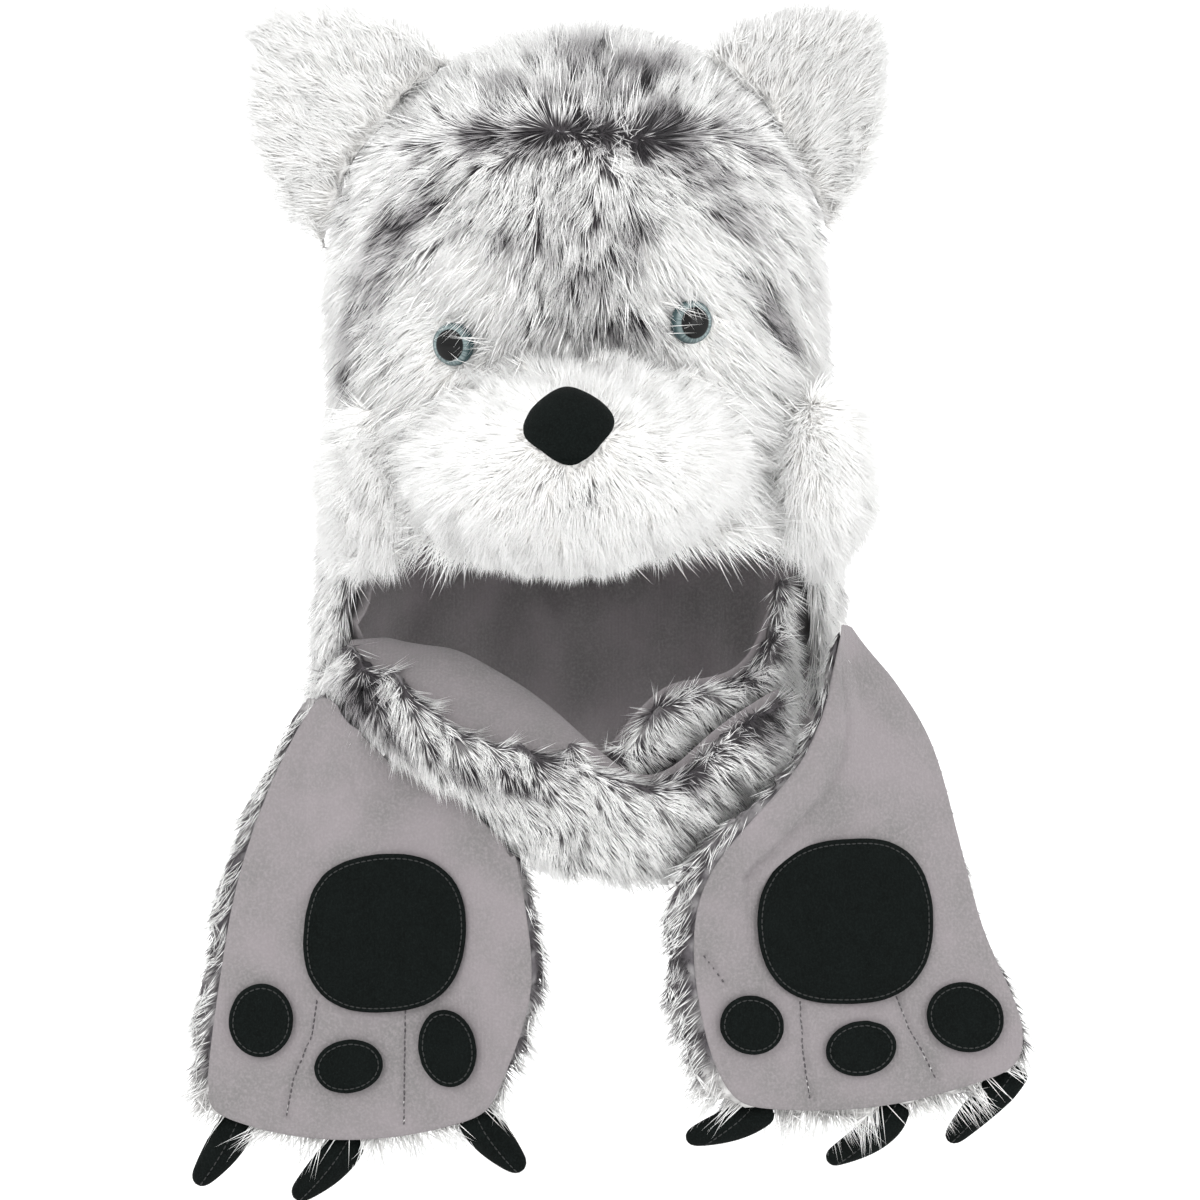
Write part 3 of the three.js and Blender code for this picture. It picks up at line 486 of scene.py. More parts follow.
# %% [markdown]
# ## Growing the strands
#
# A strand is a thin spike of three sides. Geometry Nodes scatter points over the backing, stand a
# spike on each and lean it the way that the fur is combed. A second, sparser scatter gives the
# middles of the locks. The strands of a lock lean alike, their tips are drawn together, and some
# locks are darker than others, which gives the small dark dashes between locks of real pile.

# %% Fur tree: inputs
FLOATS = ("Density", "Locks", "Length", "Width", "Lift", "Droop", "Gather", "Fray", "Part", "Dashes")
FUR_INPUTS = dict.fromkeys(FLOATS, "Float")
FUR_INPUTS |= {"Bends": "Int", "Seed": "Int", "Avoid": "Object", "Material": "Material"}


def new_tree(name, inputs):
    """A node group for a modifier, with its named inputs, and its first node's outputs."""
    tree = bpy.data.node_groups.new(name, "GeometryNodeTree")
    tree.interface.new_socket("Geometry", in_out="OUTPUT", socket_type="NodeSocketGeometry")
    for label, kind in {"Geometry": "Geometry", **inputs}.items():
        tree.interface.new_socket(label, in_out="INPUT", socket_type="NodeSocket" + kind)
    return tree, add(tree, "NodeGroupInput").outputs


def end_tree(tree, pieces, material):
    """The group's last steps: it turns copies into one mesh and gives it its material."""
    finished = add(tree, "GeometryNodeSetMaterial", {"Geometry": pieces, "Material": material})
    add(tree, "NodeGroupOutput", {"Geometry": finished})
    return tree


def run_tree(piece, tree, values):
    """Puts the tree on a piece as a modifier and sets its inputs by their identifiers."""
    modifier = modify(piece, "NODES", node_group=tree)
    for item in tree.interface.items_tree:
        if item.item_type == "SOCKET" and item.in_out == "INPUT" and item.name in values:
            modifier[item.identifier] = values[item.name]


# %% Fur tree: one strand
SPIKE_SIDES = 3
BELLY = 1.6  # how much thicker a bent strand is below its middle


def strand_of_unit_length(tree, bends):
    """A strand that stores how far along it each of its points is."""
    inputs = {"Vertices": SPIKE_SIDES, "Side Segments": bends, "Depth": 1.0}
    inputs |= {"Radius Top": 0.0, "Radius Bottom": 0.5}
    cone = add(tree, "GeometryNodeMeshCone", inputs, fill_type="NONE")
    place = add(tree, "GeometryNodeInputPosition")
    height = add(tree, "ShaderNodeSeparateXYZ", {"Vector": place}).outputs["Z"]
    marked = add(tree, STORE, {"Geometry": cone, "Name": "along", "Value": height}, data_type="FLOAT")
    left = add(tree, MATH, {0: 1.0, 1: height}, operation="SUBTRACT")
    belly = add(tree, MATH, {0: height, 1: left}, operation="MULTIPLY")
    belly = add(tree, MATH, {0: belly, 1: BELLY}, operation="MULTIPLY")
    wider = add(tree, VECTOR, {"Vector": place, "Scale": belly}, operation="SCALE")
    aside = add(tree, VECTOR, {0: wider, 1: (1, 1, 0)}, operation="MULTIPLY")
    return add(tree, "GeometryNodeSetPosition", {"Geometry": marked, "Offset": aside})


# %% Fur tree: where strands stand, and their locks
def scattered_roots(tree, given):
    """The strands' roots, each root's lock by number, and the way to the middle of that lock."""
    cover = add(tree, NAMED, {"Name": "cover"}, data_type="FLOAT")
    density = add(tree, MATH, {0: given["Density"], 1: cover}, operation="MULTIPLY")
    inputs = {"Mesh": given["Geometry"], "Density": density, "Seed": given["Seed"]}
    roots = add(tree, "GeometryNodeDistributePointsOnFaces", inputs)
    other_seed = add(tree, MATH, {0: given["Seed"], 1: 1.0}, operation="ADD")
    inputs = {"Mesh": given["Geometry"], "Density": given["Locks"], "Seed": other_seed}
    middles = add(tree, "GeometryNodeDistributePointsOnFaces", inputs)
    place = add(tree, "GeometryNodeInputPosition")
    number = add(tree, "GeometryNodeSampleNearest", {"Geometry": middles})
    inputs = {"Geometry": middles, "Value": place, "Index": number}
    middle = add(tree, "GeometryNodeSampleIndex", inputs, data_type="FLOAT_VECTOR")
    return roots, number, add(tree, VECTOR, {0: middle, 1: place}, operation="SUBTRACT")


# %% Fur tree: how strands lean and bend
DIP = -0.5  # metres up for each metre that a tip goes over


def strand_lean(tree, given, normal, number):
    """Which way each strand points: along its comb, lifted off, and stirred with its lock."""
    comb = add(tree, NAMED, {"Name": "comb"}, data_type="FLOAT_VECTOR")
    rise = add(tree, NAMED, {"Name": "rise"}, data_type="FLOAT")
    lift = add(tree, MATH, {0: given["Lift"], 1: rise}, operation="MULTIPLY")
    up = add(tree, VECTOR, {0: normal, "Scale": lift}, operation="SCALE")
    lean = add(tree, VECTOR, {0: comb, 1: up}, operation="ADD")
    for share, draw in (("Fray", {"Seed": 3}), ("Part", {"Seed": 4, "ID": number})):
        inputs = {"Min": (-1, -1, -1), "Max": (1, 1, 1), **draw}
        stir = add(tree, RANDOM, inputs, data_type="FLOAT_VECTOR")
        part = add(tree, VECTOR, {0: stir, "Scale": given[share]}, operation="SCALE")
        lean = add(tree, VECTOR, {0: lean, 1: part}, operation="ADD")
    return comb, lean


def strand_bend(tree, given, comb, normal, size, pull):
    """How far each strand's tip goes over, down and towards the middle of its lock."""
    over = add(tree, MATH, {0: size, 1: given["Droop"]}, operation="MULTIPLY")
    along = add(tree, VECTOR, {0: comb, "Scale": over}, operation="SCALE")
    down = add(tree, MATH, {0: over, 1: DIP}, operation="MULTIPLY")
    press = add(tree, VECTOR, {0: normal, "Scale": down}, operation="SCALE")
    bend = add(tree, VECTOR, {0: along, 1: press}, operation="ADD")
    gathered = add(tree, VECTOR, {0: pull, "Scale": given["Gather"]}, operation="SCALE")
    return add(tree, VECTOR, {0: bend, 1: gathered}, operation="ADD")


# %% Fur tree: strands that would pierce another piece
CLEARANCE = 1.15  # how far ahead a strand looks, as a share of its length


def without_piercing(tree, given, points, lean, size):
    """Leaves out the strands that would run into the piece to avoid."""
    wall = add(tree, "GeometryNodeObjectInfo", {"Object": given["Avoid"]}).outputs["Geometry"]
    reach = add(tree, MATH, {0: size, 1: CLEARANCE}, operation="MULTIPLY")
    inputs = {"Target Geometry": wall, "Ray Direction": lean, "Ray Length": reach}
    blocked = add(tree, "GeometryNodeRaycast", inputs)
    inputs = {"Geometry": points, "Selection": blocked}
    return add(tree, "GeometryNodeDeleteGeometry", inputs, domain="POINT")


# %% Fur tree: colours of strands and locks
DASH_SHARE = 0.7  # above this chance a lock is a dark one


def strand_colours(tree, given, points, number):
    """Stores shade, and a tone that is raised on the dark locks of grey fur."""
    own = add(tree, RANDOM, {"Min": 0.0, "Max": 0.6, "Seed": 5}, data_type="FLOAT")
    shared = add(tree, RANDOM, {"Min": 0.0, "Max": 0.4, "ID": number, "Seed": 6}, data_type="FLOAT")
    shade = add(tree, MATH, {0: own, 1: shared}, operation="ADD")
    points = add(tree, STORE, {"Geometry": points, "Name": "shade", "Value": shade}, data_type="FLOAT")
    tone = add(tree, NAMED, {"Name": "tone"}, data_type="FLOAT")
    chance = add(tree, RANDOM, {"Min": 0.0, "Max": 1.0, "ID": number, "Seed": 7}, data_type="FLOAT")
    inputs = {"Value": chance, "From Min": DASH_SHARE, "From Max": 1.0, "To Max": given["Dashes"]}
    dash = add(tree, CLIMB, inputs)
    grey = add(tree, CLIMB, {"Value": tone, "From Min": 0.3, "From Max": 1.0})
    raised = add(tree, MATH, {0: dash, 1: grey, 2: tone}, operation="MULTIPLY_ADD")
    return add(tree, STORE, {"Geometry": points, "Name": "tone", "Value": raised}, data_type="FLOAT")


# %% Fur tree: the whole
SHORTEST, LONGEST = 0.7, 1.12  # shares of the length that is asked for


def fur_tree():
    tree, given = new_tree("faux fur", FUR_INPUTS)
    roots, number, pull = scattered_roots(tree, given)
    normal = roots.outputs["Normal"]
    longer = add(tree, NAMED, {"Name": "long"}, data_type="FLOAT")
    inputs = {"Min": SHORTEST, "Max": LONGEST, "Seed": 2}
    uneven = add(tree, RANDOM, inputs, data_type="FLOAT")
    size = add(tree, MATH, {0: given["Length"], 1: longer}, operation="MULTIPLY")
    size = add(tree, MATH, {0: size, 1: uneven}, operation="MULTIPLY")
    comb, lean = strand_lean(tree, given, normal, number)
    bend = strand_bend(tree, given, comb, normal, size, pull)
    inputs = {"Geometry": roots, "Name": "bend", "Value": bend}
    points = add(tree, STORE, inputs, data_type="FLOAT_VECTOR")
    points = strand_colours(tree, given, points, number)
    points = without_piercing(tree, given, points, lean, size)

    turn = add(tree, "FunctionNodeAlignRotationToVector", {"Vector": lean}, axis="Z")
    scale = add(tree, "ShaderNodeCombineXYZ", {0: given["Width"], 1: given["Width"], 2: size})
    strand = strand_of_unit_length(tree, given["Bends"])
    inputs = {"Points": points, "Instance": strand, "Rotation": turn, "Scale": scale}
    strands = add(tree, "GeometryNodeInstanceOnPoints", inputs)
    strands = add(tree, "GeometryNodeRealizeInstances", {"Geometry": strands})

    along = add(tree, NAMED, {"Name": "along"}, data_type="FLOAT")
    reach = add(tree, MATH, {0: along, 1: along}, operation="MULTIPLY")
    bent = add(tree, NAMED, {"Name": "bend"}, data_type="FLOAT_VECTOR")
    offset = add(tree, VECTOR, {0: bent, "Scale": reach}, operation="SCALE")
    strands = add(tree, "GeometryNodeSetPosition", {"Geometry": strands, "Offset": offset})
    for used in ("bend", "comb", "cover", "long", "rise"):
        strands = add(tree, "GeometryNodeRemoveAttribute", {"Geometry": strands, "Name": used})
    return end_tree(tree, strands, given["Material"])


FUR_TREE = fur_tree()
print("fur tree:", len(FUR_TREE.nodes), "nodes")


# %% Grow one piece of fur
LOOKS = {
    "Locks": 26000.0,  # for each square metre, which is one every 6 mm
    "Bends": 1,
    "Width": 0.62 * MM,
    "Lift": 0.55,
    "Droop": 0.1,
    "Gather": 0.55,
    "Fray": 0.22,
    "Part": 0.3,
    "Dashes": 0.65,
    "Seed": 1,
    "Material": FUR,
}


def dress(piece, node=None):
    """Parents a piece to the root body; with a node, it hides that CAD node, so the piece takes its place.
    """
    if node:
        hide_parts(node)
    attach(piece, "root")


def prepare(ground, node, slot, **stored):
    """Puts a backing in its node's place, with what its strands read: tone, comb, long and rise."""
    for name, values in stored.items():
        write(ground.data, name, values)
    dress(ground, node)


def grow(name, ground, cover, strands, length, slot, **looks):
    holder = shown(name + "_holder", ground.data.copy())
    write(holder.data, "cover", cover)
    faces = holder.data.polygons
    area = sum(face.area * np.mean([cover[k] for k in face.vertices]) for face in faces)
    run_tree(holder, FUR_TREE, {**LOOKS, "Density": strands / area, "Length": length, **looks})
    piece = applied(holder, name)
    dress(piece)
    print(name, "grew on", round(area * 1e4), "cm2:", triangles(piece), "triangles")


def uneven_length(places, seed, base=1.0):
    """Strands' lengths that change slowly from place to place, as shares."""
    return base + 0.15 * waves(places, 18 * MM, seed)


# %% [markdown]
# ## The hood's coat
#
# The husky's markings are dyed in; one mark on the right side of the rim is partly the rim's paler
# fur and partly painted light, which offsets the shade inside the rim. They are easiest to lay out
# as seen from the front, so each mark has its place across and up in that view, its half sizes, its
# tilt and its tone. Tone 0 is white, 1 the grey of the forehead, and 2 the near-black where the pile
# parts and its roots show. Each mark fades at its edge, and noise breaks up its outline, as locks would.


# %% Marks
Mark = namedtuple("Mark", "name x z wide tall tilt tone", defaults=[0.0])

WHITE_MARKS = [
    Mark("left eye patch", -56, -110, 25, 33, -24),
    Mark("right eye patch", 44, -99, 22, 31, 16),
    Mark("left of the muzzle", -72, -170, 44, 42, 0),
    Mark("muzzle", -4, -172, 78, 52, 0),
    Mark("right of the muzzle", 78, -158, 44, 56, -10),
]
TONED_MARKS = [
    Mark("fan on the crown", -2, 9, 8, 11, 0, 1.9),
    Mark("tuft right of it", 23, -3, 17, 6, 14, 2.0),
    Mark("spot left of it", -34, -10, 9, 5, -20, 1.9),
    Mark("ridge", -12, -31, 46, 6, 5, 1.8),
    Mark("left end of the ridge", -52, -29, 8, 5, 0, 1.9),
    Mark("right end of the ridge", 32, -30, 13, 12, -30, 1.9),
    Mark("right of the forehead", 46, -46, 13, 6, -20, 1.8),
    Mark("right parting", 77, -41, 23, 4, -33, 1.7),
    Mark("left parting", -76, -67, 19, 6, 45, 1.9),
    Mark("left temple", -86, -92, 5, 12, -12, 1.6),
    Mark("left cheek", -99, -120, 5, 20, -6, 1.7),
    Mark("over the left eye", -31, -79, 10, 4, 5, 1.8),
    Mark("over the bridge", -4, -91, 12, 5, 0, 1.6),
    Mark("over the right eye", 21, -76, 8, 6, 30, 1.8),
    Mark("bridge", 0, -113, 30, 5, 4, 1.35),
    Mark("right of the bridge", 21, -113, 6, 7, 0, 1.8),
    Mark("right temple", 73, -104, 6, 20, 28, 1.9),
    Mark("right of the crown", 60, -66, 10, 5, -35, 1.6),
    # Partly the rim's own paler fur, and partly painted light that offsets the shade inside the rim
    Mark("paler right rim with painted light", 91, -228, 11, 28, 0, 0.4),
]


def seen_from_front(places):
    """Across and up, in millimetres, as the camera sees it."""
    mm = places / MM
    up = mm[:, 2] * math.cos(CAMERA_ELEVATION) + (mm[:, 1] - AIM_Y) * math.sin(CAMERA_ELEVATION)
    return mm[:, 0], up


def inside_mark(spot, x, z, edge):
    """1 well inside a mark, 0 outside it, with a soft edge that wide as a share of its size."""
    tilt = math.radians(spot.tilt)
    right = (x - spot.x) * math.cos(tilt) + (z - spot.z) * math.sin(tilt)
    up = (z - spot.z) * math.cos(tilt) - (x - spot.x) * math.sin(tilt)
    far = np.hypot(right / spot.wide, up / spot.tall)
    return np.clip((1 + edge - far) / (2 * edge), 0, 1)


def marked(tone, marks, x, z, share=1.0, edge=0.5):
    """The tone with the marks' own tones laid over it."""
    for spot in marks:
        inside = share * inside_mark(spot, x, z, edge)
        tone = tone * (1 - inside) + spot.tone * inside
    return np.clip(tone, 0, 2)


# %% Tone of the hood
RIDGE_UP = -31  # the height, as seen from the front, where the forehead's fur parts
TOP_TONE, FOREHEAD_TONE, SIDE_TONE = 0.98, 0.96, 0.9
MIDDLE_X = -4
RAGGED = 7  # how far noise shifts the marks' outlines, in millimetres


def hood_tone(places):
    x, z = seen_from_front(places)
    x = x + RAGGED * waves(places, 14 * MM, 1)
    z = z + RAGGED * waves(places, 14 * MM, 2)
    front = ramp(-places[:, 1] / MM, 10, 30)
    above = ramp(z, RIDGE_UP, 20)
    aside = ramp(np.abs(x - MIDDLE_X), 62, 34)
    tone = FOREHEAD_TONE * (1 - aside) + SIDE_TONE * aside
    tone = tone * (1 - above) + TOP_TONE * above
    tone = tone * front + SIDE_TONE * (1 - front)
    tone += 0.28 * waves(places, 9 * MM, 3) + 0.16 * waves(places, 30 * MM, 4)
    for spot in WHITE_MARKS:
        tone = tone * (1 - front * inside_mark(spot, x, z, 0.2))
    return marked(tone, TONED_MARKS, x, z, front)


# %% [markdown]
# Fur is combed too. On the forehead it falls away from the ridge, and spreads round the eyes, where
# some of it strays across the glass. Above the ridge it is brushed up and back over the crown. On
# the sides and behind it hangs down, and beside the wearer's face it leans in over the rim.

# %% Comb of the hood
STRAY_SIDE = {"eye_left": (1.0, 0.25), "eye_right": (-0.8, 0.7)}  # where fur strays over an eye
EYE_REACH = 17 * MM  # the distance from an eye over which its comb fades


def round_eye(places, eye):
    """The way out from an eye, fading with distance, but inwards where its fur strays over it."""
    out = places - middle_of(eye)
    far = np.linalg.norm(out, axis=1)[:, None]
    way = unit(out)
    right, up = STRAY_SIDE[eye]
    stray = np.clip((way[:, 0] * right + way[:, 2] * up - 0.55) * 6, 0, 1)[:, None]
    return way * (1 - 1.8 * stray) * 2.2 * np.exp(-((far / EYE_REACH) ** 2))


def hood_comb(places, normals):
    x, z = seen_from_front(places)
    above = ramp(z - RIDGE_UP + 3 * waves(places, 12 * MM, 5), 0, 8)[:, None]
    front = ramp(-places[:, 1] / MM, 0, 30)[:, None]
    spread = np.clip((x - MIDDLE_X) / 70, -1.1, 1.1)
    down = columns(0.75 * spread, 0, -1)
    up = columns(0.9 * spread, 0.8, 0.9)
    behind = columns(0.5 * spread, 0.5, -0.7)
    way = (up * above + down * (1 - above)) * front + behind * (1 - front)
    rim = front * (ramp(np.abs(x), 80, 8) * ramp(-z, 200, 15))[:, None]
    way = way + rim * columns(-1.6 * np.sign(x), -0.6, 0)
    for eye in STRAY_SIDE:
        way = way + round_eye(places, eye)
    return along_surface(way + stirred(places, 0.35, 16 * MM, 6), normals)


# %% Length and rise of the hood's strands
EYE_CLEARING = 7.5 * MM
HOLLOWS = [
    Mark("between the muzzle and the left cheek", -70, -172, 24, 44, 0),
    Mark("between the muzzle and the right cheek", 70, -168, 26, 46, 0),
]


def from_eye(places, eye):
    """Distance from an eye, as seen from the front."""
    return np.linalg.norm((places - middle_of(eye))[:, [0, 2]], axis=1)


def hood_length_and_rise(places):
    """Short round the eyes, and long and upright in the hollows beside the muzzle."""
    x, z = seen_from_front(places)
    front = places[:, 1] < 0
    longer = 1 + 0.14 * waves(places, 20 * MM, 9)
    rise = np.ones(len(places))
    for eye in STRAY_SIDE:
        near = front * ramp(-from_eye(places, eye), -22 * MM, 15 * MM)
        longer = longer * (1 - 0.6 * near)
        rise = rise + 0.5 * near
    for hollow in HOLLOWS:
        share = front * inside_mark(hollow, x, z, 0.3)
        longer = longer * (1 + 0.5 * share)
        rise = rise + 1.3 * share
    return longer, rise


# %% Grow the hood's fur
PILE_SUNK = 6.5 * MM
COLOUR_SHIFT = 8 * MM  # strands lie along the surface, so their colour is looked up further on
FRONT_ENDS, BACK_STARTS = -38 * MM, 30 * MM

hood, places, normals, hood_cover = backing(
    "hood_fur", 5 * MM, PILE_SUNK, {"hood_lining": 4 * MM, "snout": 7 * MM}
)
for eye in STRAY_SIDE:
    hood_cover[(from_eye(places, eye) < EYE_CLEARING) & (places[:, 1] < 0)] = 0
comb = hood_comb(places, normals)
tone = hood_tone(places + comb * COLOUR_SHIFT)
longer, rise = hood_length_and_rise(places)
prepare(hood, "hood_fur", "fur_grey", tone=tone, comb=comb, long=longer, rise=rise)
print("hood ground:", triangles(hood), "triangles")

front, back = places[:, 1] < FRONT_ENDS, places[:, 1] >= BACK_STARTS
zones = [
    ("hood_fur_front", front, 55000, 17 * MM, {"Seed": 11}),
    ("hood_guard_hairs", front, 3200, 21 * MM, {"Seed": 16, "Bends": 2, "Droop": 0.25}),
    ("hood_fur_sides", ~(front | back), 31000, 18 * MM, {"Seed": 21}),
    ("hood_fur_back", back, 22000, 19 * MM, {"Seed": 31, "Width": 0.9 * MM}),
]
for name, inside, strands, length, looks in zones:
    grow(name, hood, hood_cover * inside, strands, length, "fur_grey", Avoid=NODES["hood_lining"], **looks)

# %% Stray hairs across the eyes
STRAY_RING = (11 * MM, 17 * MM)  # how far from the eye's middle they stand
STRAY_RISE = 2.4
STRAY_LOOKS = {"Seed": 37, "Gather": 0.3, "Width": 0.6 * MM, "Part": 0.4}


def stray_hairs(eye, side):
    """A few hairs rooted beside an eye, on the side where the fur strays over it."""
    bed = shown(eye + "_bed", hood.data.copy())
    places, normals = points_of(bed.data)
    out = places - middle_of(eye)
    flat = out[:, [0, 2]]
    far = np.linalg.norm(flat, axis=1)
    facing = flat @ np.array(side) / np.maximum(far, 1e-6)
    near = (far > STRAY_RING[0]) & (far < STRAY_RING[1]) & (facing > 0.65) & (places[:, 1] < 0)
    for name, values in (("comb", along_surface(-out, normals)), ("rise", STRAY_RISE), ("long", 1)):
        write(bed.data, name, values)
    name = "stray_hairs_" + eye
    grow(name, bed, near * 1.0, 300, 22 * MM, "fur_white", Avoid=NODES[eye], **STRAY_LOOKS)
    bpy.data.objects.remove(bed)


for eye, side in STRAY_SIDE.items():
    stray_hairs(eye, side)

# %% [markdown]
# ## Snout, cheeks and ears
#
# The muzzle is white fur over a stuffed form. It is combed outwards from the nose, so it parts
# under it, and its lower edge hangs as a fringe over the brow. The cheeks are tufts of the same.
# The ears are pale and fluffy, combed from their base to their tip. Their white fur is painted a little
# grey, as painted shade.

# %% Snout
MOUTH = Mark("mouth", -8, -178, 12, 6, -18)


def snout_tone(places):
    """White, with a few dark hairs where the mouth would be."""
    mouth = inside_mark(MOUTH, *seen_from_front(places), 0.5)
    return 0.03 + 1.1 * mouth * (waves(places, 4 * MM, 42) > 0.1)


def snout_comb(places, normals):
    way = unit(places - middle_of("nose"))
    return along_surface(way + np.array((0, 0, -0.5)) + stirred(places, 0.5, 14 * MM, 43), normals)


def snout_length(places):
    """Longer at the sides, to reach over to the cheeks."""
    return uneven_length(places, 46, 1 + 0.5 * ramp(np.abs(places[:, 0] / MM + 7), 40, 30))


snout, places, normals, cover = backing("snout", 3.5 * MM, 5 * MM, {"hood_fur": 5 * MM})
cover = cover * covered(places, normals, {"nose": 35 * MM})
stored = {"tone": snout_tone(places), "comb": snout_comb(places, normals), "rise": 1}
prepare(snout, "snout", "fur_white", long=snout_length(places), **stored)
looks = {"Seed": 51, "Lift": 0.95, "Fray": 0.35, "Part": 0.4, "Locks": 34000.0, "Width": 0.6 * MM}
grow("snout_fur", snout, cover, 32000, 12.5 * MM, "fur_white", Avoid=NODES["nose"], **looks)


# %% Cheeks and ears
def cheek_comb(places, normals):
    way = columns(np.sign(places[:, 0]) * 0.3, -0.1, -1)
    return along_surface(way + stirred(places, 0.45, 12 * MM, 62), normals)


def ear_comb(places, normals):
    """From the middle of the ear's base outwards, to its tip and to its edges."""
    side = np.sign(places[:, 0].mean())
    way = unit(places - np.array((side * 62, 0, -62)) * MM)
    return along_surface(way + stirred(places, 0.5, 13 * MM, 65), normals)


def tuft(node, sunk, against, comb, tone, strands, length, **looks):
    """Dresses a node in pale fur of one tone and an even length."""
    ground, places, normals, cover = backing(node, 3.5 * MM, sunk, against)
    tones = np.clip(tone + 0.12 * waves(places, 15 * MM, 61), 0, 2)
    stored = {"tone": tones, "comb": comb(places, normals), "long": uneven_length(places, 46)}
    prepare(ground, node, "fur_white", rise=1, **stored)
    grow(node + "_fur", ground, cover, strands, length, "fur_white", **looks)


against = {"hood_fur": 5 * MM, "snout": 5 * MM}
looks = {"Seed": 71, "Lift": 0.9, "Fray": 0.35, "Part": 0.4, "Locks": 30000.0}
for side in SIDES:
    tuft("cheek_" + side, 4.5 * MM, against, cheek_comb, 0.0, 8500, 17 * MM, **looks)

against = {"hood_fur": 5 * MM}
looks = {"Seed": 81, "Lift": 0.62, "Fray": 0.35, "Part": 0.35, "Width": 0.65 * MM, "Dashes": 0.0}
looks["Material"] = PAINTED_SHADE_EAR_FUR
for side in SIDES:
    # The tone of 0.2 greys the ears' roots a little: painted shade on white fur
    tuft("ear_" + side, 2.5 * MM, against, ear_comb, 0.2, 11500, 13.5 * MM, **looks)

# %% [markdown]
# ## Neck band and arms
#
# The bands show their fur in front, combed down and to the right, with dark partings along their
# upper edges and where they cross. The arms hang with the fleece to the front, so only a fringe of
# their fur shows there, but the whole of it does from behind.

# %% Fur of the bands
BAND_MARKS = [
    Mark("at the left knot", -97, -262, 9, 9, 0, 2.0),
    Mark("below it", -82, -276, 10, 4, -40, 1.8),
    Mark("left of the middle", -56, -290, 14, 3, -30, 1.8),
    Mark("middle", -30, -298, 12, 3, -12, 1.7),
    Mark("at the crossing", 32, -293, 12, 8, -20, 1.9),
    Mark("right of the crossing", 70, -276, 9, 5, 30, 1.8),
    Mark("at the right knot", 80, -300, 10, 6, 20, 1.9),
    Mark("right rim", 62, -250, 6, 8, 30, 1.6),
]
BAND_LOOKS = {"Dashes": 0.35, "Gather": 0.35, "Locks": 36000.0, "Width": 0.55 * MM}


def band_tone(places, normals):
    """Pale grey, darker along the top edge, where the fur folds over, and at the marks."""
    top = ramp(normals[:, 2], 0.35, 0.5)
    tone = 0.93 + 0.2 * waves(places, 11 * MM, 91) + 0.2 * waves(places, 5 * MM, 92)
    tone += 0.4 * top * (waves(places, 9 * MM, 93) > 0)
    return marked(tone, BAND_MARKS, *seen_from_front(places))


for seed, name in ((101, "over_band"), (111, "under_band")):
    node, lining = name + "_fur", name + "_lining"
    band, places, normals, cover = backing(node, 3 * MM, 4 * MM, {lining: 3 * MM})
    comb = along_surface(np.array((0.55, 0, -0.8)) + stirred(places, 0.5, 14 * MM, 94), normals)
    stored = {"tone": band_tone(places, normals), "comb": comb, "rise": 1}
    prepare(band, node, "fur_grey", long=uneven_length(places, 97), **stored)
    looks = {"Seed": seed, "Avoid": NODES[lining], **BAND_LOOKS}
    grow(name + "_strands", band, cover, 13000, 13 * MM, "fur_grey", **looks)


# %% Fur of the arms
def arm_tone(places):
    return np.clip(0.95 + 0.25 * waves(places, 12 * MM, 121) + 0.25 * waves(places, 5 * MM, 122), 0, 2)


def arm_comb(places, normals):
    """Down, and outwards at the edges, so that the fringe shows from the front."""
    middle = (places[:, 0].min() + places[:, 0].max()) / 2
    way = columns((places[:, 0] - middle) / (80 * MM), 0, -0.9)
    return along_surface(way + stirred(places, 0.4, 14 * MM, 123), normals)


POINT_X, POINT_RISE = 107 * MM, 7 * MM


def point_top(piece, side):
    """Draws the right arm's top together to a rounded point beside the hood."""
    if side == "right":
        places, _ = points_of(piece.data)
        up = ramp(places[:, 2] / MM, -258, 17) ** 2
        move(piece, columns((POINT_X - places[:, 0]) * 0.6 * up, 0, POINT_RISE * up))


for seed, side in ((131, "left"), (141, "right")):
    name = "arm_" + side
    node, fleece = name + "_fur", name + "_lining"
    against = {fleece: 3.5 * MM, "over_band_fur": 4 * MM, "under_band_fur": 4 * MM}
    arm, _, _, cover = backing(node, 3.5 * MM, 4 * MM, against)
    point_top(arm, side)
    places, normals = points_of(arm.data)
    in_the_way = joined([fleece] + [f"{name}_claw_{k}" for k in (1, 2, 3)], name + "_in_the_way")
    point_top(in_the_way, side)
    hem = ramp(places[:, 2].min() + 32 * MM - places[:, 2], 0, 16 * MM)
    longer = uneven_length(places, 126) + 0.55 * hem
    stored = {"tone": arm_tone(places) * (1 - 0.5 * hem), "comb": arm_comb(places, normals)}
    prepare(arm, node, "fur_grey", long=longer, rise=1 - 0.3 * hem, **stored)
    looks = {"Seed": seed, "Lift": 0.5, "Dashes": 0.6, "Avoid": in_the_way}
    grow(name + "_strands", arm, cover, 11500, 12 * MM, "fur_grey", **looks)
    bpy.data.objects.remove(in_the_way)

# %% [markdown]
# ## Fleece
#
# A CAD lining is a faceted wall. Its triangles are joined into quads and subdivided, which gives the
# cloth its soft curves. Fleece is thick and limp, so it also gets slow, shallow undulations, sharper
# folds where it turns over, and a groove along each sewn line. Nearly all of them lie behind the CAD
# surface, so the pads that are sewn on stay clear.

# %% Soft forms from CAD nodes
QUAD_LIMIT = math.radians(50)  # how far apart two triangles of one quad may turn


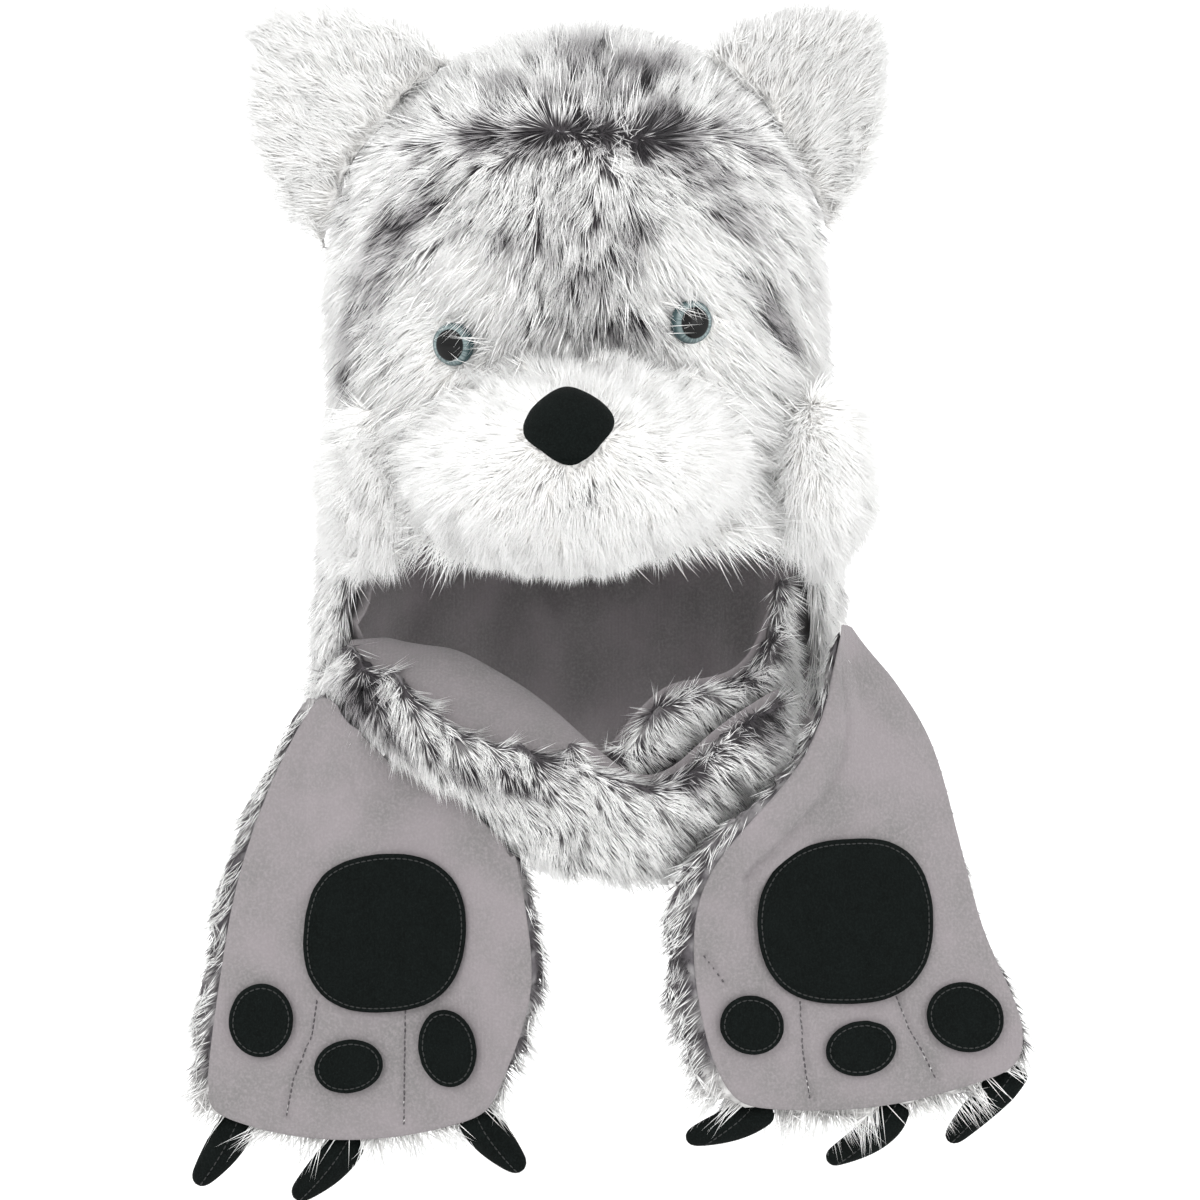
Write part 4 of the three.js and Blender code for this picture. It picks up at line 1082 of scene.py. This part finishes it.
def softened(node, name, material, levels, keep_size=0, evened=0):
    """A subdivided copy of a node. Each pass of keep_size moves its cage out, so that the smooth
    form goes through the node's own corners instead of shrinking away from them. evened is how
    often its points are averaged with their neighbours, which rounds an outline's corners."""
    limits = {"angle_face_threshold": QUAD_LIMIT, "angle_shape_threshold": QUAD_LIMIT}
    copy = merged(node)
    worked(copy.data, lambda form: bmesh.ops.join_triangles(form, faces=form.faces, **limits))
    modify(copy, "SUBSURF", levels=levels, render_levels=levels)
    corners, _ = points_of(copy.data)
    cage = corners.copy()
    for _ in range(keep_size):
        graph = bpy.context.evaluated_depsgraph_get()
        smoothed, _ = points_of(copy.evaluated_get(graph).data)
        cage += 0.8 * (corners - smoothed[: len(corners)])
        copy.data.vertices.foreach_set("co", cage.ravel())
        copy.data.update()
    if evened:
        modify(copy, "SMOOTH", iterations=evened)
    piece = applied(copy, name)
    piece.data.materials.append(material)
    return piece


def cloth(piece, node):
    """Dresses a node with a sheet of cloth, and prints its triangles and the area of one of its faces."""
    dress(piece, node)
    half = sum(face.area for face in piece.data.polygons) / 2
    print(piece.name, triangles(piece), "triangles,", round(half * 1e4), "cm2 of cloth")


# %% Lines on the cloth
def far_from_line(places, line):
    """Each place's distance from a line of points, as seen from the front."""
    spot = places[:, [0, 2]]
    far = np.full(len(places), np.inf)
    for start, end in zip(line, line[1:]):
        a, b = np.array(start) * MM, np.array(end) * MM
        share = np.clip((spot - a) @ (b - a) / ((b - a) @ (b - a)), 0, 1)[:, None]
        far = np.minimum(far, np.linalg.norm(spot - (a + share * (b - a)), axis=1))
    return far


def groove(places, line, depth, half):
    """How deep a rounded groove along a line is at each place."""
    return depth * np.exp(-((far_from_line(places, line) / half) ** 2))


# %% Sewn lines between the toes, and folds
TOE_LINES = {
    "left": [
        [(-115.4, -389.8), (-117.4, -403.6), (-125.3, -422.5), (-128.2, -438.0)],
        [(-77.7, -389.8), (-78.1, -411.6), (-78.5, -440.0)],
    ],
    "right": [
        [(87.3, -384.7), (88.6, -406.3), (91.4, -424.7)],
        [(127.3, -383.0), (133.5, -398.4), (138.9, -407.6), (144.2, -418.4)],
        [(47.3, -363.8), (54.7, -373.8)],
    ],
}
# Each fold's line, its depth and its half width
FOLDS = {
    "left": [
        ([(-118, -270), (-121, -300), (-124, -330)], 2.2 * MM, 9 * MM),
        ([(-104, -288), (-97, -303)], 1.6 * MM, 3 * MM),
        ([(-115, -322), (-86, -316)], 1.4 * MM, 6 * MM),
    ],
    "right": [
        ([(116, -262), (124, -285)], 1.5 * MM, 9 * MM),
        ([(150, -330), (165, -372)], 1.2 * MM, 10 * MM),
    ],
}
TURNED_EDGE = [(102, -226), (105, -252), (107, -271), (104, -286), (97, -299), (84, -312), (64, -330)]
TURNED_UP, TURNED_DOWN = 2.4 * MM, 1.6 * MM
SEAM_DEPTH, SEAM_HALF = 3.0 * MM, 1.9 * MM
UNDULATION = 1.2 * MM  # half the depth of the arms' slow undulations


def turned_edge(places):
    """The right arm's inner edge turns over on itself: it rises up to a line and drops past it."""
    line = np.array(TURNED_EDGE)[::-1] * MM
    beside = places[:, 0] - np.interp(places[:, 2], line[:, 1], line[:, 0])
    rise = groove(places, TURNED_EDGE, TURNED_UP, 13 * MM)
    return np.where(beside < 0, -rise, groove(places, TURNED_EDGE, TURNED_DOWN, 3 * MM))


def arm_depths(places, side):
    """How far back each point of an arm lies; both faces go together, so the wall stays as thick."""
    depth = UNDULATION * (1 + waves(places, 34 * MM, 151))
    for fold in FOLDS[side] + [(line, SEAM_DEPTH, SEAM_HALF) for line in TOE_LINES[side]]:
        depth = np.maximum(depth, groove(places, *fold))
    return depth + turned_edge(places) if side == "right" else depth


FLEECE_ARMS = {}
for side in SIDES:
    name = "arm_" + side
    lining = softened(name + "_lining", name + "_fleece", FLEECE, 3)
    places, _ = points_of(lining.data)
    move(lining, arm_depths(places, side)[:, None] * BACKWARDS)
    point_top(lining, side)
    cloth(lining, name + "_lining")
    FLEECE_ARMS[side] = lining

# %% [markdown]
# Inside the hood the fleece isn't glued to the fur, so it stands in slow upright folds, and on the
# viewer's left two soft lobes meet in a crease. Both faces of the wall move together, which keeps
# its thickness.

# %% Fleece of the hood and the bands
BAND_FLATS = {"over_band": (0.2, 0.06), "under_band": (0.18, 0.05)}
HOOD_AXIS = np.array((-6, 5, 0)) * MM
INSIDE_CREASES = [[(-114, -236), (-88, -238), (-73, -226)], [(-88, -238), (-84, -262)]]
FOLD_HEIGHT, LOBE_HEIGHT = 6 * MM, 5 * MM


def lining_shifts(places):
    """How each point of the hood's lining moves: in towards its axis, but not at a crease."""
    way = unit((HOOD_AXIS - places) * np.array((1, 1, 0)))
    low = ramp(-places[:, 2] / MM, 90, 60) * ramp(places[:, 2] / MM, -330, 30)
    stretched = places * np.array((1, 1, 0.3)) + way * places[:, 2:] * 0.15
    ridges = np.clip(1 - 2.8 * np.abs(waves(stretched, 26 * MM, 161)), 0, 1)
    front = (places[:, 1] < 0) * 1.0
    lobes = front
    for line in INSIDE_CREASES:
        lobes = lobes * (1 - groove(places, line, 1.0, 5 * MM))
    return way * (low * (FOLD_HEIGHT * ridges * (1 - front) + LOBE_HEIGHT * lobes))[:, None]


hood_fleece = softened("hood_lining", "hood_fleece", FLEECE, 2)
move(hood_fleece, lining_shifts(points_of(hood_fleece.data)[0]))
cloth(hood_fleece, "hood_lining")

for name, flat in BAND_FLATS.items():
    band_fleece = softened(name + "_lining", name + "_fleece", FLEECE, 2)
    cloth(band_fleece, name + "_lining")

# %% [markdown]
# ## Stitches
#
# The toes are marked out by sewn lines, and the pads are sewn down with a tight row of stitches just
# inside their edge. A row of stitches repeats along a path, so Geometry Nodes make it: they space
# points evenly along a curve and lay a short, rounded thread on each, turned along the path.

# %% Stitch tree
STITCHES = {"Spacing": 2.6 * MM, "Stitch": 2.3 * MM, "Thickness": 0.6 * MM}


def stitch_tree():
    tree, given = new_tree("row of stitches", dict.fromkeys(STITCHES, "Float") | {"Material": "Material"})
    inputs = {"Curve": given["Geometry"], "Length": given["Spacing"]}
    path = add(tree, "GeometryNodeResampleCurve", inputs, mode="LENGTH")
    thread = add(tree, "GeometryNodeMeshUVSphere", {"Segments": 6, "Rings": 4, "Radius": 0.5})
    tangent = add(tree, "GeometryNodeInputTangent")
    turn = add(tree, "FunctionNodeAlignRotationToVector", {"Vector": tangent}, axis="Z")
    thick, long = given["Thickness"], given["Stitch"]
    scale = add(tree, "ShaderNodeCombineXYZ", {0: thick, 1: thick, 2: long})
    inputs = {"Points": path, "Instance": thread, "Rotation": turn, "Scale": scale}
    threads = add(tree, "GeometryNodeInstanceOnPoints", inputs)
    threads = add(tree, "GeometryNodeRealizeInstances", {"Geometry": threads})
    return end_tree(tree, threads, given["Material"])


STITCH_TREE = stitch_tree()


def sew(name, path, closed, material, slot, **looks):
    """A row of stitches along a path."""
    line = bpy.data.curves.new(name, "CURVE")
    line.dimensions = "3D"
    spline = line.splines.new("POLY")
    spline.points.add(len(path) - 1)
    for point, place in zip(spline.points, path):
        point.co = (*place, 1.0)
    spline.use_cyclic_u = closed
    holder = shown(name + "_path", line)
    run_tree(holder, STITCH_TREE, {**STITCHES, "Material": material, **looks})
    dress(applied(holder, name))


# %% Lay a path on a piece's front
def laid_on(piece, spots, lift):
    """The places on the front of a piece at these x and z, lifted off it."""
    tree = BVHTree.FromObject(piece, bpy.context.evaluated_depsgraph_get())
    hits = [tree.ray_cast(Vector((x, -1, z)), Vector(BACKWARDS)) for x, z in spots]
    return [hit + normal * lift for hit, normal, _, _ in hits if hit is not None]


def dense(line, step):
    """The line's points with others between them, about a step apart."""
    made = []
    for (x0, z0), (x1, z1) in zip(line, line[1:]):
        count = max(1, round(math.hypot(x1 - x0, z1 - z0) / step))
        made += [(x0 + (x1 - x0) * k / count, z0 + (z1 - z0) * k / count) for k in range(count)]
    return [*made, line[-1]]


# %% Sew the toe lines
STEP = 3  # millimetres between the spots where a line is laid on the fleece
SUNK_IN = 0.1 * MM  # how far the stitches' middles lie below the fleece

for side, lines in TOE_LINES.items():
    for number, line in enumerate(lines, 1):
        spots = [(x * MM, z * MM) for x, z in dense(line, STEP)]
        path = laid_on(FLEECE_ARMS[side], spots, -SUNK_IN)
        sew(f"arm_{side}_toe_seam_{number}", path, False, GREY_THREAD, "fleece", Thickness=0.9 * MM)
print("sewed", sum(len(lines) for lines in TOE_LINES.values()), "toe lines")

# %% [markdown]
# ## Pads, claws and nose
#
# The pads are cut from felt and lie on the fleece. Their CAD solids are many-sided, and cut felt has
# a smooth outline and a soft edge, so each is built afresh: its outline follows the solid's corners
# in a smooth curve, which for a palm is drawn a little towards a square, and its two faces are
# curved sheets that are fitted to the solid's front and back. The stuffed nose is made the same
# way. The claws are subdivided from their CAD solids.

# %% Outlines of felt
EDGE_INSET = 1.9 * MM  # how far inside the edge the stitches run
AROUND = 72  # points on an outline
BESIDE = 0.14  # radians: a corner is on the outline if none this near it reaches further
OUTER = 0.97  # or if it reaches this share of the furthest of them
SQUARED = 0.035  # how far a palm's outline goes from round towards square


def outline_of(node, inset):
    """Points round a node, as seen from the front, that far inside its edge."""
    spots = np.array([v.co for v in NODES[node].data.vertices])[:, [0, 2]]
    middle = (spots.min(0) + spots.max(0)) / 2
    size = np.linalg.norm(spots - middle, axis=1)
    angle = np.arctan2(spots[:, 1] - middle[1], spots[:, 0] - middle[0])
    outer = []
    for k in range(len(size)):
        apart = np.abs((angle - angle[k] + math.pi) % (2 * math.pi) - math.pi)
        if size[k] > OUTER * size[apart < BESIDE].max():
            outer.append(k)
    turns = np.linspace(-math.pi, math.pi, AROUND, endpoint=False)
    radius = np.interp(turns, angle[outer], size[outer], period=2 * math.pi)
    radius = np.mean([np.roll(radius, k) for k in (-2, -1, 0, 1, 2)], axis=0)
    if "palm" in node:
        radius = radius * (1 - SQUARED * np.cos(4 * turns))
    radius = radius - inset
    return middle + columns(np.cos(turns), np.sin(turns)) * radius[:, None]


# %% Felt cut to an outline
def terms(spots):
    """The terms of a curved sheet at each spot."""
    x, z = spots.T
    return columns(1.0, x, z, x * x, x * z, z * z)


def fitted_faces(node, middle):
    """Two functions that give how deep the node's front and its back lie at x and z."""
    points = np.array([v.co for v in NODES[node].data.vertices])
    spots, depth = (points[:, [0, 2]] - middle) / MM, points[:, 1]
    halfway = terms(spots) @ np.linalg.lstsq(terms(spots), depth, rcond=None)[0]
    faces = []
    for part in (depth < halfway, depth >= halfway):
        sheet = np.linalg.lstsq(terms(spots[part]), depth[part], rcond=None)[0]
        faces.append(lambda at, sheet=sheet: terms((at - middle) / MM) @ sheet)
    return faces


def cut_felt(node, name, rings):
    """Felt within a node's outline. Each ring is a share of that outline and how far through the
    felt it lies, from 0 in front to 1 behind."""
    outline = outline_of(node, 0)
    middle = outline.mean(axis=0)
    front, back = fitted_faces(node, middle)
    points = []
    for share, through in [(0, 0), *rings, (0, 1)]:
        spots = middle + (outline - middle) * share
        depth = front(spots) * (1 - through) + back(spots) * through
        row = columns(spots[:, 0], depth, spots[:, 1])
        points += [tuple(p) for p in (row if share else row[:1])]
    pairs = [(k, (k + 1) % AROUND) for k in range(AROUND)]
    faces = [(0, 1 + k, 1 + after) for k, after in pairs]
    for a in range(1, 1 + (len(rings) - 1) * AROUND, AROUND):
        b = a + AROUND
        faces += [(a + k, b + k, b + after, a + after) for k, after in pairs]
    last, end = len(points) - 1 - AROUND, len(points) - 1
    faces += [(end, last + after, last + k) for k, after in pairs]
    mesh = bpy.data.meshes.new(name)
    mesh.from_pydata(points, [], faces)
    worked(mesh, lambda form: bmesh.ops.recalc_face_normals(form, faces=form.faces))
    mesh.materials.append(FELT)
    mesh.shade_smooth()
    return shown(name, mesh)


# %% Pads
PAD_FLATS = {"palm": (0.07, 0.068), "toe": (0.027, 0.025)}
PAD_RINGS = [(0.3, 0), (0.6, 0), (0.86, 0), (0.95, 0), (0.985, 0.12), (1, 0.5), (0.985, 0.9), (0.6, 1)]
ON_TOP = 0.05 * MM  # how far the stitches' middles lie above the felt

pads = [name for name in NODES if "_pad_" in name]
for node in pads:
    pad = cut_felt(node, node.replace("_pad_", "_felt_"), PAD_RINGS)
    arm = node.split("_pad_")[0]
    flat = PAD_FLATS["palm" if "palm" in node else "toe"]
    cloth(pad, node)
    path = laid_on(pad, outline_of(node, EDGE_INSET), ON_TOP)
    sew(node + "_stitches", path, True, BLACK_THREAD, "felt_black")
print("pads:", len(pads))

# %% Nose
NOSE_RINGS = [(0.25, 0), (0.5, 0), (0.72, 0), (0.88, 0), (0.96, 0.15), (1, 0.5), (0.96, 0.9), (0.6, 1)]

nose = cut_felt("nose", "nose_felt", NOSE_RINGS)
dress(nose, "nose")
print("nose:", triangles(nose), "triangles")

# %% Claws
ROOT_PLUMP, TIP_PLUMP = 1.2 * MM, 2.4 * MM  # how much the stuffing swells a claw
ROOT_TUCKED = 7 * MM  # how far back its root is tucked under the fleece's hem

claws = {}
for node in [name for name in NODES if "_claw_" in name]:
    claw = softened(node, node + "_felt", FELT, 2, keep_size=1, evened=2)
    places, normals = points_of(claw.data)
    level = places[:, 2:]
    share = (level.max() - level) / (level.max() - level.min())
    move(claw, normals * (ROOT_PLUMP + (TIP_PLUMP - ROOT_PLUMP) * share))
    move(claw, ROOT_TUCKED * np.clip(1 - share / 0.4, 0, 1) * BACKWARDS)
    dress(claw, node)
    claws[node] = claw
print("claws stuffed:", len(claws))


# %% Claw seams
def ridge_of(piece):
    """Points down the front of a claw, from its root to its tip."""
    places, _ = points_of(piece.data)
    high, low = places[:, 2].max(), places[:, 2].min()
    spots = []
    for share in np.linspace(0.06, 0.94, 14):
        level = high + (low - high) * share
        near = places[np.abs(places[:, 2] - level) < 2 * MM]
        if len(near):
            spots.append((near[:, 0].mean() / MM, level / MM))
    across, levels = np.array(spots).T
    smooth = np.polyval(np.polyfit(levels - levels.mean(), across, 2), levels - levels.mean())
    return list(zip(smooth * MM, levels * MM))


for node, claw in claws.items():
    sew(node + "_seam", laid_on(claw, ridge_of(claw), ON_TOP), False, BLACK_THREAD, "felt_black")

# %% [markdown]
# ## Eyes
#
# Each eye is a moulded plastic button: a black pupil inside a pale teal ring, under a clear glossy
# dome. One flattened ball carries it all. Its colour follows the distance from its axis, stored as
# an attribute, and the clear dome is the shader's coat.


# %% Eye material
# Cast acrylic over paint: the dome mirrors the lamps, and the paint under it stays matt
def eye_material():
    coat = {"Coat_Weight": 1.0, "Coat_Roughness": 0.03, "Coat_IOR": 1.28}
    material, tree, shader = new_material(
        "clear-coated eye plastic", Roughness=0.5, Specular_IOR_Level=0.0, **coat
    )
    far = add(tree, STORED, attribute_name="from_axis").outputs["Fac"]
    bearing = add(tree, STORED, attribute_name="bearing").outputs["Vector"]
    rays = add(tree, NOISE, {"Vector": bearing, "Scale": 9.0})
    share = add(tree, CLIMB, {"Value": rays, "From Min": 0.35, "From Max": 0.65})
    inputs = {"Factor": share, "A": linear("#4e5c5d"), "B": linear("#7d8a8b")}
    iris = add(tree, MIX, inputs, data_type="RGBA")
    edge = add(tree, CLIMB, {"Value": far, "From Min": 0.86, "From Max": 0.98})
    rim = add(tree, MIX, {"Factor": edge, "A": iris, "B": linear("#364648")}, data_type="RGBA")
    ring = add(tree, CLIMB, {"Value": far, "From Min": 0.7, "From Max": 0.75})
    full = add(tree, MIX, {"Factor": ring, "A": linear("#010202"), "B": rim}, data_type="RGBA")
    link(full, shader.inputs["Base Color"])
    return material


EYE = eye_material()

# %% Make the eyes
EYE_TURN = 22  # degrees that each button looks aside
PUPIL_ASPECT = 0.93

for eye in STRAY_SIDE:
    piece = softened(eye, eye + "_button", EYE, 2, keep_size=1)
    places, _ = points_of(piece.data)
    middle = middle_of(eye)
    half = (places[:, 2].max() - places[:, 2].min()) / 2
    turn = math.radians(EYE_TURN) * np.sign(middle[0])
    out = places - middle
    across = out[:, 0] * math.cos(turn) + out[:, 1] * math.sin(turn)
    write(piece.data, "from_axis", np.hypot(across / PUPIL_ASPECT, out[:, 2]) / half)
    write(piece.data, "bearing", unit(columns(across, out[:, 2], 0)))
    dress(piece, eye)
print("eyes set:", len(STRAY_SIDE))

# %% [markdown]
# ## Finish
#
# The last cell counts the pieces and their triangles, and names the largest.

# %% Finish
meshes = [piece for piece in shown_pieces() if piece.type == "MESH"]
total = sum(triangles(piece) for piece in meshes)
largest = max(meshes, key=triangles)
print(len(meshes), "pieces,", total, "triangles; the largest,", largest.name, "has", triangles(largest))
